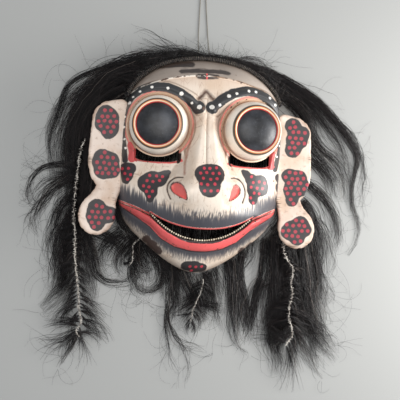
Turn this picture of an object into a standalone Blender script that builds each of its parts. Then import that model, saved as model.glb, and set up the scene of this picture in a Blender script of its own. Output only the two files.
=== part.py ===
"""A carved wooden frog dance mask lying on its back, face up, with its ears, hair and hanging loop.

The mask's own frame has x to the right of the face, y up towards the crown and z out of the face,
with z = 0 at the flat back rim. At the end everything is moved so that the world's origin is the
middle of the footprint of the mask and its hair, on the surface that they lie on. All in metres.
"""

import math

import bmesh
import bpy
import numpy as np
from mathutils import Matrix, Vector

# Driving sizes of the carved face
FACE_HALF_WIDTH = 0.084
CROWN_HEIGHT = 0.113
CHIN_DROP = 0.109
FACE_DEPTH = 0.052
FACE_ROUNDNESS = 2.8
WALL = 0.009
FIT_GAP = 0.0008

# The outline of the face from the crown to the chin: shares of its height and of its half width.
CROWN_OUTLINE = ((1.0, 0.0), (0.982, 0.262), (0.938, 0.488), (0.858, 0.679), (0.761, 0.821),
                 (0.664, 0.905), (0.531, 0.958), (0.354, 0.988), (0.133, 1.0))
CHIN_OUTLINE = ((0.138, 1.0), (0.321, 0.982), (0.440, 0.945), (0.541, 0.883), (0.633, 0.783),
                (0.716, 0.663), (0.798, 0.532), (0.870, 0.405), (0.934, 0.268), (0.980, 0.130), (1.0, 0.0))

# Eyes
EYE_OUT = 0.0465
EYE_UP = 0.0385
EYE_TURN = math.radians(9)
BALL_RADIUS = 0.029
BALL_RISE = 0.0150
EYE_ROOT = 0.0160
IRIS_RADIUS = 0.0240
PUPIL_RADIUS = 0.0205
PUPIL_CROWN = 0.0045
SOCKET_RADIUS = 0.0315
SOCKET_DEPTH = 0.004
SOCKET_RIM = 0.0025
LID_UP = 0.0015
LID_HALF_WIDTH = 0.0230
LID_CORNER = 0.0040
SOCKET_EDGE = 0.0025
SOCKET_RIM_OUT = 0.0012
SOCKET_RIM_WIDTH = 0.0014
SLIT_HALF_WIDTH = 0.0210
SLIT_EDGE = 0.0010
SLIT_TOP_RADIUS = 0.0310
SLIT_CORNER = 0.0030

# Brow, forehead, nose and muzzle
BROW_HEIGHT = 0.0045
BROW_HALF_WIDTH = 0.0062
BROW_RADIUS = 0.0375
CREST_UP = 0.090
CREST_DROP = 0.014
CREST_HEIGHT = 0.008
TOP_FACET = 0.020
NOSE_TIP_UP = -0.014
NOSE_HEIGHT = 0.031
NOSE_TOP_WIDTH = 0.009
NOSE_WIDENING = 0.020
NOSE_BELOW = 0.040
CREASE_WIDTH = 0.0012
CREASE_DEPTH = 0.0009
NOSTRIL_OUT = 0.0265
NOSTRIL_UP = -0.0250
NOSTRIL_TURN = math.radians(50)
NOSTRIL_LENGTH = 0.0095
NOSTRIL_WIDTH = 0.0048
NOSTRIL_DEPTH = 0.0045
WING_RADIUS = 0.0125
WING_HEIGHT = 0.0045
MUZZLE_UP = -0.046
MUZZLE_HALF_WIDTH = 0.080
MUZZLE_HALF_HEIGHT = 0.044
MUZZLE_HEIGHT = 0.024

# Mouth and lower lip
MOUTH_HALF_WIDTH = 0.051
MOUTH_CORNER_UP = -0.0475
UPPER_LIP_UP = -0.061
LOWER_LIP_UP = -0.0725
LIP_CORNER_OUT = 0.080
LIP_CORNER_UP = -0.0400
LIP_HALF_WIDTH = 0.0060
LIP_HEIGHT = 0.0060
LIP_THINNING = 0.45
LIP_FADE = 0.020
LIP_FADE_OUT = 0.083
UPPER_STEP = 0.004
UPPER_STEP_RISE = 0.030
UPPER_STEP_FADE = 0.025

# Ears: one outline for both, as x out from the middle of the face and y up
EAR_THICKNESS = 0.005
EAR_BACK = 0.0165
EAR_CUP = 0.004
EAR_SHIFT = {"left": (-0.002, 0.002), "right": (0.002, -0.002)}
EAR_OUTLINE = ((0.076, 0.0590), (0.093, 0.0605), (0.103, 0.0560), (0.1095, 0.0470), (0.1110, 0.0330),
               (0.1120, 0.0150), (0.1125, -0.0030), (0.1085, -0.0180), (0.1035, -0.0262), (0.1085, -0.0350),
               (0.1155, -0.0430), (0.1195, -0.0550), (0.1165, -0.0675), (0.1070, -0.0750), (0.0960, -0.0750),
               (0.0865, -0.0680), (0.0822, -0.0570), (0.0815, -0.0400), (0.0760, -0.0200), (0.0720, 0.0200))

# Hair band along the crown
BAND_RADIUS = 0.0024
BAND_HEIGHT = 0.0240
BAND_FIRST = math.radians(41)
BAND_LAST = math.radians(139)
BAND_STEPS = 26

# Hair: each lock is a route of x, y, height and width, from its root to its tip, in hair units.
# A hair unit is a millimetre at this size, and grows with the face, so that the locks stay in proportion.
HAIR_UNIT = FACE_HALF_WIDTH / 84
HAIR_FLOOR = 0.0006
LOCK_THICKNESS = 0.55
LOCK_THICKEST = 0.0085
LOCK_SIDES = 8
LOCK_FLUTE = 0.84
HAIR = {
    "mane_left": (
        ((-14, 108, 14, 12), (-58, 114, 12, 20), (-96, 101, 8, 20), (-128, 75, 6, 17), (-147, 32, 5, 14),
         (-150, -20, 4, 9), (-154, -82, 3, 4)),
        ((-48, 98, 14, 22), (-92, 88, 10, 26), (-124, 56, 7, 25), (-139, 6, 5, 22), (-140, -50, 5, 17),
         (-142, -104, 4, 11), (-138, -140, 3, 5)),
        ((-64, 84, 14, 22), (-95, 68, 9, 28), (-114, 34, 7, 30), (-118, -20, 6, 28), (-117, -70, 5, 22),
         (-110, -104, 4, 13), (-104, -126, 3, 6)),
        ((-72, 62, 12, 16), (-92, 46, 7, 20), (-98, 6, 6, 20), (-98, -38, 6, 16), (-96, -68, 5, 7)),
        ((-138, 28, 4, 8), (-152, 0, 4, 8), (-162, -34, 3, 6), (-156, -72, 3, 4)),
    ),
    "mane_right": (
        ((16, 108, 14, 12), (52, 110, 11, 18), (92, 94, 8, 18), (130, 68, 6, 16), (157, 38, 5, 12),
         (168, 2, 4, 8), (166, -40, 3, 5), (167, -74, 3, 3)),
        ((46, 98, 14, 20), (82, 90, 9, 22), (116, 66, 7, 21), (138, 34, 6, 17), (147, -6, 5, 13),
         (146, -46, 4, 8), (143, -80, 3, 4)),
        ((62, 84, 14, 20), (90, 70, 8, 22), (112, 38, 7, 22), (125, -6, 6, 20), (132, -48, 5, 15),
         (136, -84, 4, 10), (136, -112, 3, 5)),
        ((72, 62, 12, 14), (92, 46, 7, 18), (98, 8, 6, 17), (99, -32, 6, 8)),
    ),
    "switch_left": (
        ((-119, 22, 14, 6), (-124, -14, 14, 8), (-126, -66, 14, 9), (-122, -108, 12.5, 10),
         (-118, -138, 7.5, 20), (-115, -160, 5, 44), (-116, -178, 5, 40), (-121, -194, 3.5, 12),
         (-133, -212, 3, 4)),
    ),
    "switch_right": (
        ((78, -62, 8, 22), (81, -94, 7, 24), (85, -134, 6, 22), (92, -174, 5, 14), (100, -208, 3, 5)),
        ((84, -50, 8, 22), (98, -84, 8, 26), (106, -128, 7, 26), (113, -172, 5, 20), (118, -200, 3, 6)),
        ((92, -60, 7, 14), (114, -96, 6, 18), (122, -134, 6, 22), (129, -172, 5, 16), (142, -202, 3, 5)),
    ),
    "jaw_curl": (
        ((-48, -68, 8, 10), (-74, -74, 6, 8), (-91, -84, 5, 7), (-99, -103, 4, 7), (-88, -119, 4, 7),
         (-68, -121, 4, 6), (-56, -110, 4, 5)),
        ((-52, -66, 8, 8), (-62, -84, 6, 9), (-64, -98, 5, 8), (-70, -112, 3.5, 4)),
    ),
    "chin_lock_left": (
        ((-36, -80, 8, 13), (-27, -104, 6, 13), (-25, -132, 5, 10), (-26, -156, 4, 6), (-22, -180, 3, 4),
         (-9, -198, 3, 3), (-2, -214, 2.5, 2.5)),
    ),
    "chin_switch": (
        ((6, -98, 8, 22), (10, -118, 6, 24), (8, -140, 5, 24), (2, -164, 3, 8)),
        ((14, -96, 7, 12), (17, -122, 5, 14), (22, -144, 4, 10), (27, -162, 3, 4)),
    ),
    "chin_lock_right": (
        ((32, -84, 8, 12), (43, -114, 6, 14), (46, -146, 5, 12), (50, -172, 4, 8), (59, -190, 3, 4)),
        ((44, -76, 8, 14), (56, -106, 6, 17), (61, -146, 5, 14), (69, -176, 4, 9), (80, -196, 3, 4)),
    ),
}

# Hanging loop: a thin thread, in by one small hole in the crown and out by the other
LOOP_THREAD = 0.0010
LOOP_HOLE = 0.0026
LOOP_HEIGHT = 0.0120
LOOP_LEFT = -0.0080
LOOP_RIGHT = 0.0030
LOOP_INSIDE_UP = 0.1000
LOOP_DROP_UP = 0.1380
LOOP_DROP_RIGHT = 0.0020
LOOP_VIEW_UP = 0.1760
LOOP_VIEW_RIGHT = -0.0020
LOOP_TOP_UP = 0.2000
LOOP_TOP_LEFT = -0.0074
LOOP_TOP_RIGHT = -0.0026

# Fineness of the meshes
FACE_SEGMENTS = 132
FACE_RINGS = 46
FACE_SHARE_KEPT = 0.16
EYE_SEGMENTS = 32
HOLLOW_SEGMENTS = 36
HOLLOW_RINGS = 11


def smooth(t):
    """0 below 0, 1 above 1, and a smooth rise between."""
    t = np.clip(t, 0.0, 1.0)
    return t * t * (3 - 2 * t)


def spline(points, steps, closed=False):
    """Points along a smooth curve through the given ones, steps to each span."""
    pts = [np.array(p, float) for p in points]
    n = len(pts)
    out = []
    for i in range(n if closed else n - 1):
        if closed:
            p0, p1, p2, p3 = (pts[(i + k) % n] for k in (-1, 0, 1, 2))
        else:
            p1, p2 = pts[i], pts[i + 1]
            p0 = pts[i - 1] if i else 2 * p1 - p2
            p3 = pts[i + 2] if i + 2 < n else 2 * p2 - p1
        for k in range(steps):
            t = k / steps
            out.append(0.5 * (2 * p1 + (p2 - p0) * t + (2 * p0 - 5 * p1 + 4 * p2 - p3) * t ** 2
                              + (3 * p1 - p0 - 3 * p2 + p3) * t ** 3))
    if not closed:
        out.append(pts[-1])
    return np.array(out)


def face_outline():
    """The closed outline of the back rim, anticlockwise from the chin, as x and y."""
    half = [(w * FACE_HALF_WIDTH, -h * CHIN_DROP) for h, w in reversed(CHIN_OUTLINE)]
    half += [(w * FACE_HALF_WIDTH, h * CROWN_HEIGHT) for h, w in reversed(CROWN_OUTLINE)]
    other = [(-x, y) for x, y in reversed(half[1:-1])]
    return spline(half + other, 8, closed=True)


OUTLINE = face_outline()
OUTLINE_ANGLE = np.unwrap(np.arctan2(OUTLINE[:, 1], OUTLINE[:, 0]))
OUTLINE_RADIUS = np.hypot(OUTLINE[:, 0], OUTLINE[:, 1])


def rim_radius(angle):
    """How far the rim is from the middle of the face in this direction."""
    start = OUTLINE_ANGLE[0]
    turned = (np.asarray(angle) - start) % (2 * math.pi) + start
    angles = np.append(OUTLINE_ANGLE, start + 2 * math.pi)
    return np.interp(turned, angles, np.append(OUTLINE_RADIUS, OUTLINE_RADIUS[0]))


def chain_distance(x, y, points):
    """Distance in the plane from a chain of straight pieces."""
    best = np.full(np.shape(x), 1e9)
    for a, b in zip(points, points[1:]):
        ax, ay = a[0], a[1]
        dx, dy = b[0] - ax, b[1] - ay
        t = np.clip(((x - ax) * dx + (y - ay) * dy) / (dx * dx + dy * dy), 0, 1)
        best = np.minimum(best, np.hypot(x - ax - t * dx, y - ay - t * dy))
    return best


def socket_distance(x, y):
    """Signed distance to the edge of the eye socket: a circle with a squarer lower lid. Negative inside."""
    ax = np.abs(x) - EYE_OUT
    circle = np.hypot(ax, y - EYE_UP) - SOCKET_RADIUS
    middle = (LID_UP + EYE_UP) / 2
    qx = np.abs(ax) - (LID_HALF_WIDTH - LID_CORNER)
    qy = np.abs(y - middle) - ((EYE_UP - LID_UP) / 2 - LID_CORNER)
    box = np.hypot(np.maximum(qx, 0), np.maximum(qy, 0)) + np.minimum(np.maximum(qx, qy), 0)
    box -= LID_CORNER
    return np.minimum(circle, box)


def mouth_upper(x):
    """The lower edge of the upper lip."""
    share = np.clip(np.abs(x) / MOUTH_HALF_WIDTH, 0, 1)
    return UPPER_LIP_UP + (MOUTH_CORNER_UP - UPPER_LIP_UP) * share ** 2


def mouth_lower(x):
    """The upper edge of the lower lip."""
    share = np.clip(np.abs(x) / MOUTH_HALF_WIDTH, 0, 1)
    return LOWER_LIP_UP + (MOUTH_CORNER_UP - LOWER_LIP_UP) * share ** 1.8


def lip_line(x):
    """The middle of the lower lip, out to the corners of the mouth."""
    share = np.clip(np.abs(x) / LIP_CORNER_OUT, 0, 1)
    middle = LOWER_LIP_UP - LIP_HALF_WIDTH
    return middle + (LIP_CORNER_UP - middle) * np.sin(share ** 1.7 * math.pi / 2)


def brow_points(side):
    """The middle of the eyebrow from its inner knob over the eye and down its outer side."""
    inner = [(side * 0.17 * EYE_OUT, EYE_UP + 0.0175), (side * 0.34 * EYE_OUT, EYE_UP + 0.0265)]
    arc = []
    for degrees in range(118, -65, -14):
        turn = math.radians(degrees)
        reach = BROW_RADIUS - 0.0045 * (1 - math.sin(turn)) * (degrees < 90)
        arc.append((side * (EYE_OUT + reach * math.cos(turn)), EYE_UP + reach * math.sin(turn)))
    return inner + arc


def relief(x, y):
    """What the carving adds to the plain dome of the face."""
    ax = np.abs(x)
    added = np.zeros_like(x)

    # Forehead: nearly flat up to a crest, which falls away to the hair band
    crest = CREST_UP - CREST_DROP * (x / 0.065) ** 2
    added += CREST_HEIGHT * smooth((y - EYE_UP) / 0.030) * smooth((crest + TOP_FACET - y) / TOP_FACET)

    # Muzzle
    away = np.hypot(x / MUZZLE_HALF_WIDTH, (y - MUZZLE_UP) / MUZZLE_HALF_HEIGHT)
    added += MUZZLE_HEIGHT * np.clip(1 - away ** 2, 0, 1) ** 2

    # Nose: a ridge that widens and rises from the brow to the tip, with a fine crease along it
    tip, top = NOSE_TIP_UP, EYE_UP + 0.032
    along = np.clip((top - y) / (top - tip), 0, 1)
    width = NOSE_TOP_WIDTH + NOSE_WIDENING * along ** 2.2
    ridge = NOSE_HEIGHT * (0.22 * smooth(along * 4) + 0.78 * along ** 1.5)
    below = smooth((y - tip + NOSE_BELOW) / NOSE_BELOW)
    side = 1 - smooth((ax - 0.45 * width) / (0.85 * width))
    added += ridge * below * side
    crease = np.exp(-(x / CREASE_WIDTH) ** 2) * smooth((y - tip - 0.008) / 0.01) * smooth((top - y) / 0.01)
    added -= CREASE_DEPTH * crease

    # Nostrils: a raised wing round a hollow drop that points down and inwards
    nx, ny = ax - NOSTRIL_OUT, y - NOSTRIL_UP
    wing = np.hypot(nx, ny)
    added += WING_HEIGHT * (1 - smooth((wing - 0.4 * WING_RADIUS) / (0.7 * WING_RADIUS)))
    u = nx * math.cos(NOSTRIL_TURN) + ny * math.sin(NOSTRIL_TURN)
    v = -nx * math.sin(NOSTRIL_TURN) + ny * math.cos(NOSTRIL_TURN)
    taper = np.maximum(1 + 0.45 * u / NOSTRIL_LENGTH, 0.15)
    drop = np.hypot(u / NOSTRIL_LENGTH, v / (NOSTRIL_WIDTH * taper))
    added -= NOSTRIL_DEPTH * (1 - smooth((drop - 0.5) / 0.5))

    # Eye sockets, with a rolled rim, then the eyebrow round them
    socket = socket_distance(x, y)
    added -= SOCKET_DEPTH * smooth(-socket / SOCKET_EDGE)
    added += SOCKET_RIM * np.exp(-((socket - SOCKET_RIM_OUT) / SOCKET_RIM_WIDTH) ** 2)
    brow = chain_distance(ax, y, brow_points(1))
    round_brow = np.clip(1 - (brow / BROW_HALF_WIDTH) ** 2, 0, 1)
    added += BROW_HEIGHT * round_brow * smooth((socket - 0.001) / 0.003)

    # Lower lip: a round roll from corner to corner, thinner towards the corners
    half = LIP_HALF_WIDTH * (1 - LIP_THINNING * smooth(ax / LIP_CORNER_OUT))
    roll = np.minimum(np.abs(y - lip_line(x)) / half, 1)
    added += LIP_HEIGHT * np.sqrt(1 - roll ** 2.5) * smooth((LIP_FADE_OUT - ax) / LIP_FADE)

    # The upper lip overhangs, so the face steps back along its edge and on to the corners
    step = smooth((y - mouth_upper(x)) / UPPER_STEP + 0.5)
    step *= smooth((MOUTH_CORNER_UP + UPPER_STEP_RISE - y) / UPPER_STEP_RISE)
    added += UPPER_STEP * step * smooth((LIP_CORNER_OUT - ax) / UPPER_STEP_FADE)
    return added


def face_height(x, y, share):
    """Height of the outer surface. share is how far out towards the rim the point is, from 0 to 1."""
    dome = FACE_DEPTH * (1 - np.clip(share, 0, 1) ** FACE_ROUNDNESS) ** (1 / FACE_ROUNDNESS)
    return dome + relief(x, y) * smooth((1 - share) / 0.07)


def hollow_height(x, y, share):
    """Height of the hollow behind the face, which follows the muzzle and the nose loosely."""
    depth = FACE_DEPTH - WALL
    dome = depth * (1 - np.clip(share, 0, 1) ** FACE_ROUNDNESS) ** (1 / FACE_ROUNDNESS)
    away = np.hypot(x / MUZZLE_HALF_WIDTH, (y - MUZZLE_UP) / MUZZLE_HALF_HEIGHT)
    muzzle = 0.85 * MUZZLE_HEIGHT * np.clip(1 - away ** 2, 0, 1) ** 2
    nose = 0.55 * NOSE_HEIGHT * np.exp(-(x / 0.018) ** 2 - ((y - NOSE_TIP_UP) / 0.030) ** 2)
    return dome + (muzzle + nose) * smooth((1 - share) / 0.25)


def material(name, colour, roughness):
    made = bpy.data.materials.new(name)
    made.use_nodes = True
    shader = made.node_tree.nodes["Principled BSDF"]
    shader.inputs["Base Color"].default_value = (*colour, 1)
    shader.inputs["Roughness"].default_value = roughness
    shader.inputs["Metallic"].default_value = 0.0
    return made


def add_object(name, bm, finish):
    """Links a bmesh as a named object with its faces pointing out."""
    bmesh.ops.recalc_face_normals(bm, faces=bm.faces)
    mesh = bpy.data.meshes.new(name)
    bm.to_mesh(mesh)
    bm.free()
    mesh.shade_smooth()
    mesh.set_sharp_from_angle(angle=math.radians(45))
    obj = bpy.data.objects.new(name, mesh)
    bpy.context.scene.collection.objects.link(obj)
    if finish:
        mesh.materials.append(finish)
    return obj


def as_cutter(obj):
    obj.hide_render = True
    obj.display_type = "WIRE"
    return obj


def combine(obj, other, operation):
    """A Boolean with another object, which then only guides the shape."""
    made = obj.modifiers.new(operation.title() + " " + other.name, "BOOLEAN")
    made.operation = operation
    made.object = as_cutter(other)


def skin(bm, rings):
    """Joins rings of vertices, all of one length, into a band of quads."""
    for lower, upper in zip(rings, rings[1:]):
        count = len(lower)
        for i in range(count):
            j = (i + 1) % count
            bm.faces.new((lower[i], lower[j], upper[j], upper[i]))


def close_to_point(bm, ring, point):
    centre = bm.verts.new(point)
    for i, vert in enumerate(ring):
        bm.faces.new((vert, ring[(i + 1) % len(ring)], centre))


def dome_rings(bm, count, ring_count, radius_of, height_of):
    """Rings of vertices from the rim up to near the middle. They crowd towards the steep rim."""
    angles = np.linspace(0, 2 * math.pi, count, endpoint=False)
    radius = radius_of(angles)
    rings = []
    for k in range(ring_count):
        share = math.cos(k / ring_count * math.pi / 2) ** (2 / FACE_ROUNDNESS)
        x, y = share * radius * np.cos(angles), share * radius * np.sin(angles)
        z = height_of(x, y, np.full(count, share))
        rings.append([bm.verts.new(p) for p in zip(x, y, z)])
    middle = (0, 0, float(height_of(np.zeros(1), np.zeros(1), np.zeros(1))[0]))
    return rings, middle


def build_block(grown, segments, ring_count):
    """The carved block, or the same grown by a gap: the outer face with a flat back."""
    bm = bmesh.new()
    rings, middle = dome_rings(bm, segments, ring_count, lambda a: rim_radius(a) + grown, face_height)
    skin(bm, rings)
    close_to_point(bm, rings[-1], middle)
    bm.faces.new(rings[0])
    bmesh.ops.triangulate(bm, faces=[f for f in bm.faces if len(f.verts) > 4])
    return bm


def build_hollow():
    """A cutter for the inside of the mask, which leaves a flat rim round the back."""
    bm = bmesh.new()
    rings, middle = dome_rings(bm, HOLLOW_SEGMENTS, HOLLOW_RINGS, lambda a: rim_radius(a) - WALL, hollow_height)
    below = [bm.verts.new((v.co.x, v.co.y, -WALL)) for v in rings[0]]
    skin(bm, [below] + rings)
    close_to_point(bm, rings[-1], middle)
    bm.faces.new(below)
    return add_object("hollow cutter", bm, None)


def prism(name, outline, low, high):
    """A cutter: the outline, as x and y, between two heights."""
    bm = bmesh.new()
    rings = [[bm.verts.new((x, y, z)) for x, y in outline] for z in (low, high)]
    skin(bm, rings)
    bm.faces.new(rings[0])
    bm.faces.new(rings[1])
    return add_object(name, bm, None)


def eyeball(name, side):
    """The turned form of an eye: the ball, the raised ring round the iris and the domed pupil."""
    rise = BALL_RISE
    profile = [(0.0, -EYE_ROOT), (BALL_RADIUS, -EYE_ROOT), (BALL_RADIUS, 0.25 * rise),
               (BALL_RADIUS * 0.965, 0.55 * rise), (BALL_RADIUS * 0.895, 0.84 * rise),
               (IRIS_RADIUS + 0.0008, rise), (IRIS_RADIUS - 0.0008, rise + 0.0022),
               (PUPIL_RADIUS + 0.0010, rise + 0.0018), (PUPIL_RADIUS, rise + 0.0002)]
    for share in (0.82, 0.6, 0.33):
        profile.append((PUPIL_RADIUS * share, rise + PUPIL_CROWN * (1 - share ** 2)))
    profile.append((0.0, rise + PUPIL_CROWN))
    bm = bmesh.new()
    count = EYE_SEGMENTS
    rings = []
    for radius, height in profile[1:-1]:
        rings.append([bm.verts.new((radius * math.cos(2 * math.pi * i / count),
                                    radius * math.sin(2 * math.pi * i / count), height)) for i in range(count)])
    skin(bm, rings)
    close_to_point(bm, rings[0], (0, 0, profile[0][1]))
    close_to_point(bm, rings[-1], (0, 0, profile[-1][1]))
    obj = add_object(name, bm, None)
    share = math.hypot(EYE_OUT, EYE_UP) / float(rim_radius(math.atan2(EYE_UP, EYE_OUT)))
    base = float(face_height(np.zeros(1), np.full(1, -1.0), np.full(1, share))[0])
    obj.rotation_euler = (0, side * EYE_TURN, 0)
    obj.location = (side * EYE_OUT, EYE_UP, base)
    return obj


def build_face():
    finish = material("painted wood", (0.80, 0.72, 0.63), 0.45)
    face = add_object("face", build_block(0.0, FACE_SEGMENTS, FACE_RINGS), finish)
    thin = face.modifiers.new("Fewer facets", "DECIMATE")
    thin.ratio = FACE_SHARE_KEPT
    for side, label in ((-1, "left"), (1, "right")):
        combine(face, eyeball("eyeball " + label, side), "UNION")
    combine(face, build_hollow(), "DIFFERENCE")

    x = np.linspace(-MOUTH_HALF_WIDTH, MOUTH_HALF_WIDTH, 25)
    upper = list(zip(x, mouth_upper(x)))
    lower = list(zip(x[1:-1], mouth_lower(x[1:-1])))[::-1]
    beyond = 2 * (FACE_DEPTH + MUZZLE_HEIGHT + NOSE_HEIGHT)
    combine(face, prism("mouth cutter", upper + lower, -WALL, beyond), "DIFFERENCE")

    x = np.linspace(-SLIT_HALF_WIDTH, SLIT_HALF_WIDTH, 11)
    upper = EYE_UP - np.sqrt(SLIT_TOP_RADIUS ** 2 - x ** 2)
    lower = LID_UP + SLIT_EDGE + SLIT_CORNER * np.abs(x / SLIT_HALF_WIDTH) ** 4
    for side, label in ((-1, "left"), (1, "right")):
        lid = list(zip(x + side * EYE_OUT, lower)) + list(zip(x + side * EYE_OUT, upper))[::-1]
        combine(face, prism("slit cutter " + label, lid, -WALL, beyond), "DIFFERENCE")
    for x in (LOOP_LEFT, LOOP_RIGHT):
        bm = bmesh.new()
        bmesh.ops.create_cone(bm, cap_ends=True, segments=10, radius1=LOOP_HOLE / 2, radius2=LOOP_HOLE / 2,
                              depth=6 * WALL)
        drill = add_object(f"thread hole at {x}", bm, None)
        drill.rotation_euler = (math.radians(90), 0, 0)
        drill.location = (x, CROWN_HEIGHT, LOOP_HEIGHT)
        combine(face, drill, "DIFFERENCE")
    return face


def build_ear(label):
    """A flat wooden ear with a small upper lobe, a waist and a round lower lobe, cut to fit the cheek."""
    side = -1 if label == "left" else 1
    shift_x, shift_y = EAR_SHIFT[label]
    shape = spline([(side * x + shift_x, y + shift_y) for x, y in EAR_OUTLINE], 2, closed=True)
    middle = shape.mean(axis=0)
    bm = bmesh.new()
    rings = []
    for height, inset in ((0.0, 0.0009), (0.0009, 0.0), (EAR_THICKNESS - 0.0012, 0.0), (EAR_THICKNESS, 0.0014)):
        ring = []
        for x, y in shape:
            back = Vector((middle[0] - x, middle[1] - y)).normalized() * inset
            lift = EAR_CUP * smooth((abs(x) - FACE_HALF_WIDTH) / 0.030)
            ring.append(bm.verts.new((x + back.x, y + back.y, EAR_BACK + height + lift)))
        rings.append(ring)
    skin(bm, rings)
    bm.faces.new(rings[0])
    bm.faces.new(rings[-1])
    bmesh.ops.triangulate(bm, faces=[f for f in bm.faces if len(f.verts) > 4])
    ear = add_object("ear_" + label, bm, material("painted ear " + label, (0.80, 0.71, 0.60), 0.5))

    cheek = build_block(FIT_GAP, HOLLOW_SEGMENTS * 2, HOLLOW_RINGS * 2)
    combine(ear, add_object("cheek cutter " + label, cheek, None), "DIFFERENCE")
    return ear


def wall_point(angle, height, away):
    """A point beside the face's outer wall at this height, away from it by the given distance."""
    share = np.linspace(1.0, 0.7, 121)
    reach = float(rim_radius(angle)) * share
    heights = face_height(reach * math.cos(angle), reach * math.sin(angle), share)
    out = float(np.interp(height, heights, reach)) + away
    return Vector((out * math.cos(angle), out * math.sin(angle), height))


def tube(name, points, radii, finish, sides=6):
    """A closed round tube through the points, with its own radius at each."""
    bm = bmesh.new()
    rings = []
    for i, centre in enumerate(points):
        before, after = points[max(i - 1, 0)], points[min(i + 1, len(points) - 1)]
        ahead = (after - before).normalized()
        across = ahead.cross(Vector((0, 0, 1))).normalized()
        up = across.cross(ahead)
        rings.append([bm.verts.new(centre + radii[i] * (math.cos(t) * across + math.sin(t) * up))
                      for t in (2 * math.pi * k / sides for k in range(sides))])
    skin(bm, rings)
    bm.faces.new(rings[0])
    bm.faces.new(rings[-1])
    return add_object(name, bm, finish)


def lock_mesh(route):
    """A flattened, fluted lock that tapers to its tip."""
    points = spline([(x * HAIR_UNIT, y * HAIR_UNIT, z * HAIR_UNIT) for x, y, z, _ in route], 2)
    widths = spline([(width * HAIR_UNIT,) for *_, width in route], 2)[:, 0]
    bm = bmesh.new()
    rings = []
    for i, centre in enumerate(points):
        before, after = points[max(i - 1, 0)], points[min(i + 1, len(points) - 1)]
        ahead = Vector(after - before).normalized()
        across = ahead.cross(Vector((0, 0, 1))).normalized()
        up = across.cross(ahead)
        half_width = float(widths[i]) / 2
        half_height = min(LOCK_THICKNESS * 2 * half_width, LOCK_THICKEST) / 2
        middle = Vector((centre[0], centre[1], max(centre[2], half_height + HAIR_FLOOR)))
        ring = []
        for k in range(LOCK_SIDES):
            turn = 2 * math.pi * k / LOCK_SIDES
            size = LOCK_FLUTE if k % 2 else 1.0
            ring.append(bm.verts.new(middle + size * (half_width * math.cos(turn) * across
                                                      + half_height * math.sin(turn) * up)))
        rings.append(ring)
    skin(bm, rings)
    bm.faces.new(rings[0])
    bm.faces.new(rings[-1])
    return bm


def build_hair(name, locks):
    """Locks that run into one another, cut to sit against the side of the face."""
    shade = 0.030 + 0.004 * len(locks)
    hair = add_object(name, lock_mesh(locks[0]), material("hair of " + name, (shade, shade, shade), 0.55))
    for i, route in enumerate(locks[1:], 2):
        combine(hair, add_object(f"{name} lock {i}", lock_mesh(route), None), "UNION")
    wall = build_block(FIT_GAP, HOLLOW_SEGMENTS * 2, HOLLOW_RINGS)
    bmesh.ops.translate(wall, vec=(0, 0, -2 * HAIR_FLOOR), verts=[v for v in wall.verts if v.co.z < HAIR_FLOOR])
    combine(hair, add_object(name + " wall cutter", wall, None), "DIFFERENCE")
    return hair


def build_band():
    """The bound edge that the mane is sewn to, laid along the crown from ear to ear."""
    angles = np.linspace(BAND_FIRST, BAND_LAST, BAND_STEPS + 1)
    points = [wall_point(a, BAND_HEIGHT, BAND_RADIUS + FIT_GAP) for a in angles]
    radii = [BAND_RADIUS * (1.0 if i % 2 else 0.86) for i in range(len(points))]
    return tube("hair_band", points, radii, material("bound hair", (0.05, 0.045, 0.04), 0.7))


def build_loop():
    """The thread: through both holes, down on to the surface and up to the narrow end of the loop."""
    low = LOOP_THREAD / 2 + 0.0001
    through = ((LOOP_INSIDE_UP, LOOP_HEIGHT), (CROWN_HEIGHT - 0.003, LOOP_HEIGHT),
               (CROWN_HEIGHT + 0.007, LOOP_HEIGHT - 0.0003), (LOOP_DROP_UP, low))
    left = [(LOOP_LEFT, y, z) for y, z in through] + [(LOOP_LEFT, LOOP_VIEW_UP, low)]
    right = [(LOOP_VIEW_RIGHT, LOOP_VIEW_UP, low), (LOOP_DROP_RIGHT, LOOP_DROP_UP, low)]
    right += [(LOOP_RIGHT, y, z) for y, z in through[2::-1]]
    middle = (LOOP_TOP_LEFT + LOOP_TOP_RIGHT) / 2
    top = [(LOOP_TOP_LEFT, LOOP_TOP_UP, low), (middle, LOOP_TOP_UP + 0.0024, low),
           (LOOP_TOP_RIGHT, LOOP_TOP_UP, low)]
    inside = [((LOOP_LEFT + LOOP_RIGHT) / 2, LOOP_INSIDE_UP - 0.003, LOOP_HEIGHT)]
    route = spline(left + top + right + inside, 4, closed=True)
    curve = bpy.data.curves.new("hanging_thread", "CURVE")
    curve.dimensions = "3D"
    curve.bevel_depth = LOOP_THREAD / 2
    curve.bevel_resolution = 2
    line = curve.splines.new("POLY")
    line.points.add(len(route) - 1)
    for point, place in zip(line.points, route):
        point.co = (place[0], place[1], max(place[2], low), 1)
    line.use_cyclic_u = True
    curve.materials.append(material("grey thread", (0.30, 0.29, 0.27), 0.7))
    thread = bpy.data.objects.new("hanging_thread", curve)
    bpy.context.scene.collection.objects.link(thread)
    return thread


def centre_all(left_out):
    """Moves everything so that the middle of the footprint is at the origin."""
    graph = bpy.context.evaluated_depsgraph_get()
    places = []
    for obj in bpy.data.objects:
        if obj.hide_render or obj == left_out:
            continue
        shown = obj.evaluated_get(graph)
        places += [shown.matrix_world @ Vector(corner) for corner in shown.bound_box]
    middle = [(min(p[k] for p in places) + max(p[k] for p in places)) / 2 for k in (0, 1)]
    offset = Matrix.Translation((-middle[0], -middle[1], 0))
    for obj in bpy.data.objects:
        obj.matrix_world = offset @ obj.matrix_world


def main():
    for obj in list(bpy.data.objects):
        bpy.data.objects.remove(obj)
    build_face()
    build_ear("left")
    build_ear("right")
    build_band()
    for name, locks in HAIR.items():
        build_hair(name, locks)
    thread = build_loop()
    bpy.context.view_layer.update()
    centre_all(thread)


main()
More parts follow.
